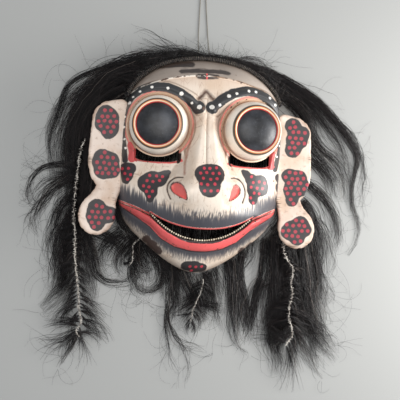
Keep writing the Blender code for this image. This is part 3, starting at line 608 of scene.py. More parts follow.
vx, vy = mask_places(face)[:, :2].T
spots = (NOSE_SPOT,) + CHEEK_SPOTS + CHIN_SPOTS[:1]
keep_value(face, "spots", np.min([disc_field(vx, vy, s) for s in spots], axis=0))
keep_value(face, "jaw_spots", np.min([disc_field(vx, vy, s) for s in CHIN_SPOTS[1:]], axis=0))
dots = []
for seed, spot in enumerate(spots):
    dots += [d + (DOT_RADIUS,) for d in scattered_dots(spot, seed)]
keep_nearest(face, "red_dot", dots)
keep_nearest(face, "white_dot", BROW_BEADS)
brow_half = 3.0 + 1.8 * smooth((vy - 42) / 20) + 0.4 * (vx > 0)
brow = np.minimum(chain_distance(vx, vy, LEFT_BROW), chain_distance(vx, vy, RIGHT_BROW)) - brow_half
for knob_x, knob_y, knob_radius in BROW_KNOBS:
    brow = np.minimum(brow, np.hypot(vx - knob_x, vy - knob_y) - knob_radius)
keep_value(face, "brow", brow)
lip_top, lip_bottom = along(LIP_TOP, vx), along(LIP_BOTTOM, vx)
upper_edge = np.where(np.abs(vx) < MOUTH_HALF_WIDTH, mouth_edge(vx, UPPER_EDGE), lip_top + 1.0)
red = np.maximum(vy - lip_top, lip_bottom - vy)
red = np.minimum(red, np.abs(vy - upper_edge - 0.6) - 0.75)
for corner in EYE_CORNER_REDS:
    red = np.minimum(red, chain_distance(vx, vy, corner) - 3.2 - 0.10 * (12 - vy))
lid = ((EYE_OUT - 24, 4.2), (EYE_OUT - 14, 2.0), (EYE_OUT, 1.5), (EYE_OUT + 14, 2.4), (EYE_OUT + 27, 4.8))
red = np.minimum(red, chain_distance(np.abs(vx), vy, lid) - 0.8)
red = np.minimum(red, np.minimum(np.hypot(vx + 24.0, vy - 5.0), np.hypot(vx - 26, vy - 3.4)) - 1.7)
red = np.minimum(red, chain_distance(vx, vy, ((-1.8, 92.2), (-1.8, 86.8))) - 0.8)
inner_side = EYE_OUT + 19.5 - np.abs(vx)
red = np.minimum(red, np.maximum(np.maximum(socket_distance(vx, vy) - 0.2, vy - 14), inner_side))
keep_value(face, "red", red)
nostril = 5 * (nostril_drop(vx, vy) - 0.98)
keep_value(face, "nostril", nostril)
keep_value(face, "whiskers", np.where(vy < upper_edge + 1.3, 60.0, vy - along(WHISKER_TOP, vx) - 6.0))
keep_value(face, "chin_whiskers", np.where(vy > lip_bottom, 60.0, along(BAND_BOTTOM, vx) - vy))
lines = np.abs(vy - lip_top) - 0.45
lines = np.minimum(lines, np.abs(vy - lip_bottom) - 0.6)
lines = np.minimum(lines, np.abs(nostril) - 0.35)
gum = np.maximum(np.maximum(lip_top - vy, vy - mouth_edge(vx, LOWER_EDGE) - 0.6),
                 np.abs(vx) - MOUTH_HALF_WIDTH)
lines = np.minimum(lines, gum)
# The dark lines in the alar grooves are painted shade in the grooves.
for groove in alar_lines:
    lines = np.minimum(lines, chain_distance(vx, vy, groove) - 0.5)
# Painted shade: the inner corner of each socket beside the slit is dark, like the opening next to it.
shaded_inner_corner = np.maximum(np.maximum(socket_distance(vx, vy) - 0.2, vy - 12), np.abs(vx) - 27)
keep_value(face, "dark_lines_and_shade", np.minimum(lines, shaded_inner_corner))
keep_value(face, "frown", chain_distance(vx, vy, FROWN) - 1.8)
keep_value(face, "ring_reach", np.hypot(np.abs(vx) - EYE_OUT, vy - EYE_UP))
keep_value(face, "crease_shadows", np.min([chain_distance(vx, vy, line) for line in CREASE_SHADOW_LINES], axis=0) - 0.8)
keep_value(face, "above_crest", vy - crest_line(vx))
streaks = [chain_distance(vx, vy, line) - half for line, half in STREAKS]
keep_value(face, "streaks", np.min(streaks, axis=0))
# How hollow or proud the face is at each vertex: its hollows get painted shade, its proud places chips.
STEP = 1.6
around = ((STEP, 0), (-STEP, 0), (0, STEP), (0, -STEP))
hollowness = sum(face_height(vx + dx, vy + dy) for dx, dy in around) / len(around)
share = np.hypot(vx, vy) / rim_radius(np.arctan2(vy, vx))
keep_value(face, "hollowness", np.clip(hollowness - face_height(vx, vy), -1.5, 1.5) * (share < 0.93))
keep_value(face, "edge_share", share)


def group_node(tree, group, inputs):
    """Places a shader node group in a material with its own values."""
    made = tree.nodes.new("ShaderNodeGroup")
    made.node_tree = group
    for key, value in inputs.items():
        if isinstance(value, bpy.types.NodeSocket):
            tree.links.new(value, made.inputs[key])
        else:
            made.inputs[key].default_value = value
    return made


def new_group(name, inputs, outputs):
    """An empty shader node group with named sockets: (name, kind, start value)."""
    group = bpy.data.node_groups.new(name, "ShaderNodeTree")
    for label, kind, value in inputs:
        socket = group.interface.new_socket(name=label, in_out="INPUT", socket_type=kind)
        socket.default_value = value
    for label, kind in outputs:
        group.interface.new_socket(name=label, in_out="OUTPUT", socket_type=kind)
    return group, group.nodes.new("NodeGroupInput"), group.nodes.new("NodeGroupOutput")


def worked(tree, operation, *values, **settings):
    """What a sum on these values gives at each place."""
    made = shade_node(tree, "Math", dict(enumerate(values)), operation=operation, **settings)
    return made.outputs[0]


def noise(tree, place, scale, detail, **others):
    """Soft random patches from 0 to 1, finer as the scale goes up."""
    inputs = {"Vector": place, "Scale": scale, "Detail": detail, **others}
    return shade_node(tree, "TexNoise", inputs).outputs["Fac"]


def ranged(tree, value, low, high, out_low=0.0, out_high=1.0):
    """The value carried over from one range to another, and held at its ends."""
    return shade_node(tree, "MapRange", {"Value": value, "From Min": low, "From Max": high,
                                         "To Min": out_low, "To Max": out_high}).outputs["Result"]


def drawn_out(tree, place, by):
    """Places multiplied along each way, which draws a pattern out along the ways left short."""
    return shade_node(tree, "VectorMath", {0: place, 1: by}, operation="MULTIPLY").outputs[0]


# A hand-painted edge: 1 inside a shape and 0 outside, from the distance to its edge, with wobble.
edge_group, taken, given = new_group(
    "hand painted edge", [("Distance", "NodeSocketFloat", 0), ("Wobble", "NodeSocketFloat", 0.5),
                          ("Fineness", "NodeSocketFloat", 300), ("Softness", "NodeSocketFloat", 0.3),
                          ("Stretch", "NodeSocketVector", (1, 1, 1))], [("Mask", "NodeSocketFloat")])
place = shade_node(edge_group, "TexCoord").outputs["Object"]
stretched = drawn_out(edge_group, place, taken.outputs["Stretch"])
shake = noise(edge_group, stretched, taken.outputs["Fineness"], 3.0)
centred = worked(edge_group, "SUBTRACT", shake, 0.5)
swing = worked(edge_group, "MULTIPLY_ADD", centred, taken.outputs["Wobble"], taken.outputs["Distance"])
divided = worked(edge_group, "DIVIDE", swing, taken.outputs["Softness"])
edge_group.links.new(ranged(edge_group, divided, -1.0, 1.0, 1.0, 0.0), given.inputs["Mask"])

# Dabbed dots: 1 inside a round dot whose place and radius are kept on the face.
dot_group, taken, given = new_group("dabbed dots",
                                    [("Mark", "NodeSocketVector", (0, 0, 0)),
                                     ("Grow", "NodeSocketFloat", 0.0)], [("Mask", "NodeSocketFloat")])
place = shade_node(dot_group, "SeparateXYZ", {0: shade_node(dot_group, "TexCoord").outputs["Object"]})
mark = shade_node(dot_group, "SeparateXYZ", {0: taken.outputs["Mark"]})
off_x = worked(dot_group, "SUBTRACT", place.outputs[0], mark.outputs[0])
off_y = worked(dot_group, "SUBTRACT", place.outputs[1], mark.outputs[1])
off = shade_node(dot_group, "CombineXYZ", {0: off_x, 1: off_y}).outputs[0]
length = shade_node(dot_group, "VectorMath", {0: off}, operation="LENGTH").outputs["Value"]
past = worked(dot_group, "SUBTRACT", length, mark.outputs[2])
past = worked(dot_group, "MULTIPLY_ADD", past, 1 / MM, taken.outputs["Grow"])
edge = group_node(dot_group, edge_group, {"Distance": past, "Wobble": 1.3, "Fineness": 900.0,
                                          "Softness": 0.25})
dot_group.links.new(edge.outputs["Mask"], given.inputs["Mask"])


def layer(tree, below, mask, colour):
    """Paint laid over what is below where the mask is 1."""
    mixed = shade_node(tree, "Mix", {"Factor": mask, "A": below, "B": colour}, data_type="RGBA")
    return mixed.outputs[2]


def kept(tree, name):
    """The value kept on the mesh under this name."""
    return shade_node(tree, "Attribute", attribute_name=name)


def painted_edge(tree, name, wobble=0.8, softness=0.3, fineness=300.0, stretch=(1, 1, 1), shift=0.0):
    """The mask of a shape whose distances are kept on the mesh."""
    distance = worked(tree, "ADD", kept(tree, name).outputs["Fac"], shift)
    return group_node(tree, edge_group, {"Distance": distance, "Wobble": wobble, "Softness": softness,
                                         "Fineness": fineness, "Stretch": stretch}).outputs["Mask"]


WHITE = paint(224, 211, 196)
AGED_WHITE = paint(200, 176, 152)
SHADE_BROWN = paint(120, 92, 72)
SPOT_GREY = paint(48, 44, 45)
WHISKER_GREY = paint(68, 68, 75)
BROW_GREY = paint(50, 50, 51)
RED = paint(242, 100, 99)
DOT_RED = paint(182, 54, 68)
LINE_BROWN = paint(44, 34, 32)
FOREHEAD_TAN = paint(144, 132, 122)
STREAK_GREY = paint(62, 54, 51)

tree = face_tree
place = shade_node(tree, "TexCoord").outputs["Object"]
cloudy = noise(tree, place, 26.0, 5.0)
speckled = noise(tree, place, 240.0, 6.0, Roughness=0.7)
colour = layer(tree, WHITE, ranged(tree, cloudy, 0.46, 0.74, 0, 0.8), AGED_WHITE)
colour = layer(tree, colour, ranged(tree, speckled, 0.58, 0.72, 0, 0.45), paint(176, 146, 118))
stains = noise(tree, place, 75.0, 6.0, Roughness=0.65)
colour = layer(tree, colour, ranged(tree, stains, 0.58, 0.72, 0, 0.5), paint(168, 132, 102))
strokes = drawn_out(tree, place, (1.0, 0.06, 0.3))
brushed = noise(tree, strokes, 700.0, 4.0)
colour = layer(tree, colour, ranged(tree, brushed, 0.56, 0.72, 0, 0.35), paint(186, 164, 146))
crack_place = drawn_out(tree, place, (1.0, 0.4, 0.7))
crack = shade_node(tree, "TexVoronoi", {"Vector": crack_place, "Scale": 120.0},
                   feature="DISTANCE_TO_EDGE").outputs["Distance"]
cracked = worked(tree, "MULTIPLY", ranged(tree, crack, 0.035, 0.0),
                 ranged(tree, stains, 0.48, 0.58, 0, 0.55))
colour = layer(tree, colour, cracked, paint(142, 106, 84))
crest_mask = painted_edge(tree, "above_crest", wobble=4.0, softness=1.0, fineness=160.0)
above = worked(tree, "SUBTRACT", 1.0, crest_mask)
tan = layer(tree, FOREHEAD_TAN, ranged(tree, cloudy, 0.35, 0.65), paint(164, 151, 140))
to_right = shade_node(tree, "SeparateXYZ", {0: place}).outputs[0]
# Painted light: the tan over the crest turns lighter towards the right side.
tan = layer(tree, tan, ranged(tree, to_right, 0.012, 0.055, 0, 0.75), paint(198, 184, 171))
under_crest = ranged(tree, kept(tree, "above_crest").outputs["Fac"], -16.0, -1.0, 0, 0.6)
colour = layer(tree, colour, under_crest, paint(198, 168, 144))
colour = layer(tree, colour, above, tan)
colour = layer(tree, colour, painted_edge(tree, "streaks", wobble=3.4, softness=0.8, stretch=(0.4, 1, 1)),
               STREAK_GREY)
# Painted shade: a darker brown laid in the hollows of the carving and along the steep rim, where shade
# falls.
hollow = kept(tree, "hollowness").outputs["Fac"]
colour = layer(tree, colour, ranged(tree, hollow, 0.05, 0.55, 0, 0.72), SHADE_BROWN)
edge_share = kept(tree, "edge_share").outputs["Fac"]
colour = layer(tree, colour, ranged(tree, edge_share, 0.93, 1.0, 0, 0.6), SHADE_BROWN)
bristles = {"stretch": (1.0, 0.05, 0.2), "fineness": 900.0}
# Each coat of whiskers gives its edge's wobble, softness and shift, how dense it is, and its paint.
WHISKER_COATS = (("whiskers", 30.0, 3.0, 0.6, 0.75, WHISKER_GREY),
                 ("whiskers", 22.0, 3.5, 3.2, 0.85, WHISKER_GREY),
                 ("whiskers", 15.0, 3.0, 7.0, 0.9, paint(62, 62, 68)),
                 ("chin_whiskers", 18.0, 2.5, -1.2, 0.7, WHISKER_GREY),
                 ("chin_whiskers", 11.0, 2.0, 2.4, 0.85, WHISKER_GREY),
                 ("chin_whiskers", 8.0, 2.0, 5.0, 0.6, paint(56, 56, 62)))
for kept_name, wobble, softness, shift, density, coat in WHISKER_COATS:
    strokes_mask = painted_edge(tree, kept_name, wobble=wobble, softness=softness, shift=shift, **bristles)
    strokes_mask = worked(tree, "MULTIPLY", strokes_mask, density)
    colour = layer(tree, colour, strokes_mask, coat)
spot_mask = painted_edge(tree, "spots", wobble=1.4, softness=0.35, fineness=260.0)
colour = layer(tree, colour, spot_mask, SPOT_GREY)
red_dots = group_node(tree, dot_group, {"Mark": kept(tree, "red_dot").outputs["Vector"]}).outputs["Mask"]
inside = worked(tree, "MULTIPLY", red_dots, spot_mask)
colour = layer(tree, colour, inside, DOT_RED)
colour = layer(tree, colour, painted_edge(tree, "jaw_spots", wobble=3.0, softness=0.6), paint(70, 54, 48))

ring = kept(tree, "ring_reach").outputs["Fac"]
ring_colours = shade_node(tree, "ValToRGB", {"Fac": ranged(tree, ring, 26.0, 36.0)})
stops = ((0.0, paint(96, 60, 50)), (0.31, paint(104, 66, 52)), (0.36, paint(206, 166, 138)),
         (0.44, paint(228, 200, 174)), (0.57, paint(220, 192, 166)), (0.60, paint(166, 104, 74)),
         (0.63, paint(214, 168, 148)), (0.72, paint(212, 104, 96)), (0.79, paint(222, 154, 140)),
         (0.82, paint(132, 92, 78)), (0.85, paint(214, 190, 168)))
ramp = ring_colours.color_ramp.elements
ramp[0].position, ramp[0].color = stops[0]
ramp[1].position, ramp[1].color = stops[-1]
for position, stop in stops[1:-1]:
    ramp.new(position).color = stop
in_ring = worked(tree, "SUBTRACT", ring, 34.4)
ring_mask = group_node(tree, edge_group, {"Distance": in_ring, "Wobble": 1.0, "Softness": 0.3,
                                          "Fineness": 150.0})
colour = layer(tree, colour, ring_mask.outputs["Mask"], ring_colours.outputs["Color"])

colour = layer(tree, colour, painted_edge(tree, "frown", wobble=3.0, softness=1.6), paint(92, 70, 58))
# Painted shadow in the creases beside the nose.
crease_shadow = painted_edge(tree, "crease_shadows", wobble=1.6, softness=0.8)
crease_shadow = worked(tree, "MULTIPLY", crease_shadow, 0.85)
colour = layer(tree, colour, crease_shadow, paint(150, 96, 76))
colour = layer(tree, colour, painted_edge(tree, "brow", wobble=1.6, softness=0.35, fineness=240.0),
               BROW_GREY)
sideways = worked(tree, "ABSOLUTE", to_right)
red_paint = layer(tree, RED, ranged(tree, sideways, 0.028, 0.052, 0, 0.65), paint(168, 70, 70))
red_paint = layer(tree, red_paint, ranged(tree, brushed, 0.60, 0.72, 0, 0.3), paint(160, 64, 60))
colour = layer(tree, colour, painted_edge(tree, "red", wobble=1.0, softness=0.3), red_paint)
colour = layer(tree, colour, painted_edge(tree, "nostril", wobble=0.8, softness=0.4), paint(224, 108, 102))
# Dark painted lines, with painted shade in the alar grooves and at the inner corners of the sockets.
colour = layer(tree, colour, painted_edge(tree, "dark_lines_and_shade", wobble=0.9, softness=0.3), LINE_BROWN)
beads = kept(tree, "white_dot").outputs["Vector"]
white_dots = group_node(tree, dot_group, {"Mark": beads}).outputs["Mask"]
colour = layer(tree, colour, white_dots, paint(244, 240, 232))

# A worn white line follows the crest left of the middle, and a brown split right of it.
# Chips go down to the wood there and where the carving stands proud.
crest_near = worked(tree, "ABSOLUTE", kept(tree, "above_crest").outputs["Fac"])
crest_mark = worked(tree, "MULTIPLY", ranged(tree, crest_near, 0.9, 0.5), ranged(tree, stains, 0.44, 0.5))
to_left = ranged(tree, to_right, 0.004, -0.004)
worn_crest = worked(tree, "MULTIPLY", crest_mark, to_left)
colour = layer(tree, colour, worn_crest, paint(236, 226, 212))
split_crest = worked(tree, "SUBTRACT", crest_mark, to_left, use_clamp=True)
colour = layer(tree, colour, split_crest, paint(150, 122, 100))
chip_noise = noise(tree, place, 190.0, 4.0)
proud = ranged(tree, hollow, -0.2, -0.7, 0, 0.10)
proud = worked(tree, "ADD", proud, ranged(tree, crest_near, 0.0, 2.2, 0.2, 0.0))
chipped = worked(tree, "ADD", chip_noise, proud)
chips = ranged(tree, chipped, 0.725, 0.74)
colour = layer(tree, colour, chips, paint(92, 70, 58))
tree.links.new(colour, face_shader.inputs["Base Color"])
tree.links.new(ranged(tree, speckled, 0.3, 0.7, 0.34, 0.5), face_shader.inputs["Roughness"])
height = worked(tree, "MULTIPLY_ADD", brushed, 0.5, speckled)
height = worked(tree, "MULTIPLY_ADD", chips, -1.2, height)
raised(tree, face_shader, height, 0.0004, 0.35)

tree = wood_tree
place = shade_node(tree, "TexCoord").outputs["Object"]
grain_place = drawn_out(tree, place, (1.0, 0.08, 1.0))
grain = noise(tree, grain_place, 260.0, 6.0, Distortion=0.4)
colour = layer(tree, paint(150, 118, 84), ranged(tree, grain, 0.35, 0.7), paint(104, 76, 52))
tree.links.new(colour, wood_shader.inputs["Base Color"])
wood_shader.inputs["Roughness"].default_value = 0.8
raised(tree, wood_shader, grain, 0.0006, 0.5)

# The cut walls of the mouth and slits: dark paint, kept near black so that it also stands for the shade
# inside these openings, partly painted shade.
tree = mouth_tree
place = shade_node(tree, "TexCoord").outputs["Object"]
rough_paint = noise(tree, place, 300.0, 4.0)
tree.links.new(layer(tree, paint(7, 6, 6), rough_paint, paint(15, 12, 11)),
               mouth_shader.inputs["Base Color"])
mouth_shader.inputs["Roughness"].default_value = 0.95
mouth_shader.inputs["Specular IOR Level"].default_value = 0.0

shade_by_angle(face, 45)
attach(face, "root")
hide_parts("face")

# Eyes: great balls carved proud of the face, turned outwards, with a raised ring round a domed
# pupil. They are one with the block. Here each is turned from a disc and cut to the hollow behind it.
EYE_TURN = math.radians(9)
PUPIL_RADIUS = 20.0
SOFT_EDGE = 0.14
EYE_PROFILE = ((29.0, -16.0), (29.2, -2.0), (29.0, 3.8), (28.4, 7.4), (27.3, 10.4), (25.9, 12.6),
               (24.7, 14.4), (24.1, 15.9), (23.4, 16.9), (22.6, 17.1), (21.8, 16.8), (21.1, 16.2),
               (20.6, 15.2), (20.2, 15.4), (18.6, 16.4), (15.8, 17.8), (12.2, 18.9), (8.2, 19.6),
               (4.0, 19.9), (1.5, 20.0))
eye_share = math.hypot(EYE_OUT, EYE_UP) / float(rim_radius(math.atan2(EYE_UP, EYE_OUT)))
EYE_BASE = FACE_DEPTH * (1 - eye_share ** FACE_ROUNDNESS) ** (1 / FACE_ROUNDNESS)
eye_paint, tree, shader = new_material("painted eye")
place = shade_node(tree, "TexCoord").outputs["Object"]
cloudy = noise(tree, place, 60.0, 5.0)
speckled = noise(tree, place, 500.0, 6.0, Roughness=0.75)
wobble = worked(tree, "MULTIPLY_ADD", cloudy, 0.9, -0.45)
reach = worked(tree, "ADD", kept(tree, "turned_reach").outputs["Fac"], wobble)
ball = layer(tree, paint(234, 224, 210), ranged(tree, cloudy, 0.44, 0.74, 0, 0.7), paint(186, 180, 168))
ball = layer(tree, ball, ranged(tree, speckled, 0.62, 0.74, 0, 0.45), paint(150, 138, 126))
foot = ranged(tree, kept(tree, "turned_height").outputs["Fac"], 3.4, 1.6, 0, 0.6)
ball = layer(tree, ball, foot, paint(150, 108, 80))
pupil = layer(tree, paint(14, 15, 19), ranged(tree, cloudy, 0.40, 0.75, 0, 0.55), paint(74, 78, 86))
pupil = layer(tree, pupil, ranged(tree, speckled, 0.58, 0.72, 0, 0.4), paint(104, 108, 114))
colour = ball
# The painted bands of the ring, each from its outer radius inwards, and then the pupil.
eye_bands = ((24.9, paint(92, 84, 72)), (24.1, paint(54, 48, 40)), (23.4, paint(176, 106, 60)),
             (22.7, paint(226, 166, 118)), (22.1, paint(238, 214, 184)), (21.3, paint(204, 70, 66)),
             (20.4, paint(60, 30, 30)), (PUPIL_RADIUS, pupil))
for radius, band_colour in eye_bands:
    past = worked(tree, "SUBTRACT", reach, radius)
    colour = layer(tree, colour, ranged(tree, past, -SOFT_EDGE, SOFT_EDGE, 1, 0), band_colour)
tree.links.new(colour, shader.inputs["Base Color"])
dull = ranged(tree, speckled, 0.35, 0.65, 0.30, 0.50)
tree.links.new(dull, shader.inputs["Roughness"])
raised(tree, shader, speckled, 0.0003, 0.35)

for side, label in ((-1, "left"), (1, "right")):
    bpy.ops.mesh.primitive_circle_add(vertices=128, radius=EYE_PROFILE[0][0] * MM, fill_type="NGON",
                                      location=(0, 0, EYE_PROFILE[0][1] * MM))
    eye = bpy.context.object
    eye.name = "carved_eye_" + label
    bpy.ops.object.transform_apply(location=True)
    bpy.ops.object.mode_set(mode="EDIT")
    bpy.ops.mesh.select_all(action="SELECT")
    for (near, low), (far, high) in zip(EYE_PROFILE, EYE_PROFILE[1:]):
        bpy.ops.mesh.extrude_region_move(TRANSFORM_OT_translate={"value": (0, 0, (high - low) * MM)})
        bpy.ops.transform.resize(value=(far / near, far / near, 1), center_override=(0, 0, 0))
    bpy.ops.mesh.select_all(action="SELECT")
    bpy.ops.mesh.normals_make_consistent(inside=False)
    bpy.ops.object.mode_set(mode="OBJECT")
    eye.rotation_euler = (0, side * EYE_TURN, 0)
    eye_middle = np.array([side * EYE_OUT, EYE_UP, EYE_BASE])
    eye.location = eye_middle * MM + MASK_MIDDLE
    bpy.ops.object.transform_apply(location=True, rotation=True, scale=True)
    eye.data.materials.append(eye_paint)
    core_places = polar_places(HOLLOW_SEGMENTS, HOLLOW_RINGS, lambda a: rim_radius(a) - WALL, hollow_height)
    core_faces = ring_faces(HOLLOW_SEGMENTS, HOLLOW_RINGS) + [tuple(range(HOLLOW_SEGMENTS))]
    apply_boolean(eye, mesh_object("hollow core", core_places, core_faces, bare_wood))
    axis = np.array([side * math.sin(EYE_TURN), 0, math.cos(EYE_TURN)])
    offset = mask_places(eye) - eye_middle
    turned_height = offset @ axis
    keep_value(eye, "turned_height", turned_height)
    keep_value(eye, "turned_reach", np.linalg.norm(offset - np.outer(turned_height, axis), axis=1))
    shade_by_angle(eye, 40)
    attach(eye, "root")
    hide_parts("face")

# Teeth: a row of tiny pale pegs along the inner edge of the lower lip.
# They are carved with the lip and picked out in white.
TOOTH_SPACING = 2.4
TOOTH_RADIUS = 0.95
tooth_paint, tree, shader = new_material("tooth paint")
place = shade_node(tree, "TexCoord").outputs["Object"]
worn = noise(tree, place, 420.0, 3.0)
tree.links.new(layer(tree, paint(226, 214, 190), ranged(tree, worn, 0.5, 0.68), paint(132, 108, 84)),
               shader.inputs["Base Color"])
shader.inputs["Roughness"].default_value = 0.45
gum_x = np.linspace(-MOUTH_HALF_WIDTH + 1, MOUTH_HALF_WIDTH - 1, 400)
gum_y = mouth_edge(gum_x, LOWER_EDGE) + 0.2
gum_run = np.concatenate([[0], np.cumsum(np.hypot(np.diff(gum_x), np.diff(gum_y)))])
bpy.ops.mesh.primitive_uv_sphere_add(segments=12, ring_count=8, radius=TOOTH_RADIUS * MM,
                                     location=(0, 0, 0))
peg = bpy.context.object
chance = np.random.default_rng(7)
pegs = []
for run in np.arange(1.0, gum_run[-1] - 1.0, TOOTH_SPACING):
    x, y = np.interp(run, gum_run, gum_x), np.interp(run, gum_run, gum_y)
    tooth = peg.copy()
    tooth.data = peg.data.copy()
    bpy.context.scene.collection.objects.link(tooth)
    height = float(face_height(np.array([x]), np.array([y - 0.4]))[0])
    tooth.location = np.array([x, y, height - 0.5]) * MM + MASK_MIDDLE
    tooth.scale = (1.0, 1.0 + chance.uniform(-0.1, 0.3), 1.0 + chance.uniform(-0.2, 0.5))
    pegs.append(tooth)
bpy.data.objects.remove(peg)
bpy.ops.object.select_all(action="DESELECT")
for tooth in pegs:
    tooth.select_set(True)
bpy.context.view_layer.objects.active = pegs[0]
bpy.ops.object.join()
teeth = bpy.context.object
teeth.name = "carved_teeth"
bpy.ops.object.transform_apply(location=True, rotation=True, scale=True)
bpy.ops.object.shade_smooth()
teeth.data.materials.append(tooth_paint)
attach(teeth, "root")
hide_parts("face")

# Ears: a flat slab of the same wood on each side, with a small upper lobe, a waist and a round
# lower lobe. Each is cupped a little, cut to fit the cheek, glued on and painted with dotted spots.
EAR_OUTLINE = ((76.0, 59.0), (93.0, 60.5), (103.0, 56.0), (109.5, 47.0), (111.0, 33.0), (112.0, 15.0),
               (112.5, -3.0), (108.5, -18.0), (103.5, -26.2), (108.5, -35.0), (115.5, -43.0),
               (119.5, -55.0), (116.5, -67.5), (107.0, -75.0), (96.0, -75.0), (86.5, -68.0), (82.2, -57.0),
               (81.5, -40.0), (76.0, -20.0), (72.0, 20.0))
EAR_SPOTS = {
    -1: (((-99.2, 49.2, 8.2), (-102.9, 44.0, 6.1), (-94.9, 44.5, 9.2), (-94.4, 34.4, 9.2),
          (-96.0, 28.3, 5.1), (-103.5, 36.9, 6.1)),
         ((-100.7, 4.8, 8.2), (-91.6, 2.3, 8.2), (-99.0, -8.2, 9.2), (-90.0, -7.7, 8.2),
          (-105.4, -0.5, 5.1)),
         ((-102.9, -46.7, 9.2), (-104.4, -54.9, 9.2), (-91.5, -53.2, 8.2), (-102.0, -62.8, 7.1),
          (-86.6, -51.9, 5.6))),
    1: (((93.0, 48.9, 8.2), (103.0, 41.2, 7.7), (94.9, 34.5, 8.2), (94.4, 24.1, 8.2), (102.4, 32.9, 6.6)),
        ((91.8, -3.0, 7.7), (101.8, -5.0, 8.7), (106.0, -14.7, 8.6), (96.4, -17.3, 9.6),
         (96.3, -28.4, 6.2)),
        ((106.2, -51.9, 8.2), (111.8, -57.9, 6.6), (95.1, -60.8, 8.2), (103.8, -66.6, 7.7),
         (95.8, -54.6, 5.1))),
}
EAR_SHIFT = {-1: (-2.0, 2.0), 1: (2.0, -2.0)}
EAR_LIFT = 4.0
EAR_DOT_RADIUS = 1.7
LONGEST_EDGE = 2.2
CHEEK_RINGS = 90
# Each layer of the slab, from its back up, gives its height and how far it is drawn in.
EAR_LAYERS = ((16.5, 1.6), (16.9, 0.7), (17.6, 0.1), (20.3, 0.0), (21.1, 0.5), (21.5, 1.3), (21.6, 2.6),
              (21.6, 5.0))
ear_paint, tree, shader = new_material("painted ear")
place = shade_node(tree, "TexCoord").outputs["Object"]
cloudy = noise(tree, place, 40.0, 5.0)
speckled = noise(tree, place, 260.0, 6.0, Roughness=0.7)
colour = layer(tree, paint(226, 209, 195), ranged(tree, cloudy, 0.44, 0.70, 0, 0.85), paint(202, 172, 146))
colour = layer(tree, colour, ranged(tree, speckled, 0.56, 0.70, 0, 0.6), paint(150, 118, 92))
grubby = painted_edge(tree, "from_edge", wobble=12.0, softness=3.0, fineness=60.0, shift=-1.6)
grubby = worked(tree, "MULTIPLY", grubby, 0.6)
colour = layer(tree, colour, grubby, paint(142, 106, 80))
strokes_mask = painted_edge(tree, "from_edge", wobble=30.0, softness=2.0, shift=-1.0, fineness=900.0,
                            stretch=(0.06, 1.0, 0.3))
strokes_mask = worked(tree, "MULTIPLY", strokes_mask, ranged(tree, cloudy, 0.53, 0.60, 0, 0.75))
colour = layer(tree, colour, strokes_mask, paint(78, 62, 54))
spot_mask = painted_edge(tree, "spots", wobble=1.6, softness=0.35, fineness=260.0)
colour = layer(tree, colour, spot_mask, paint(44, 40, 41))
red_dots = group_node(tree, dot_group, {"Mark": kept(tree, "red_dot").outputs["Vector"],
                                        "Grow": -0.2}).outputs["Mask"]
inside = worked(tree, "MULTIPLY", red_dots, spot_mask)
colour = layer(tree, colour, inside, paint(164, 48, 62))
chips = painted_edge(tree, "from_edge", wobble=8.5, softness=0.5, fineness=130.0, shift=0.9)
colour = layer(tree, colour, chips, paint(82, 58, 44))
tree.links.new(colour, shader.inputs["Base Color"])
tree.links.new(ranged(tree, speckled, 0.3, 0.7, 0.36, 0.55), shader.inputs["Roughness"])
height = worked(tree, "MULTIPLY_ADD", chips, -1.0, speckled)
raised(tree, shader, height, 0.0004, 0.4)

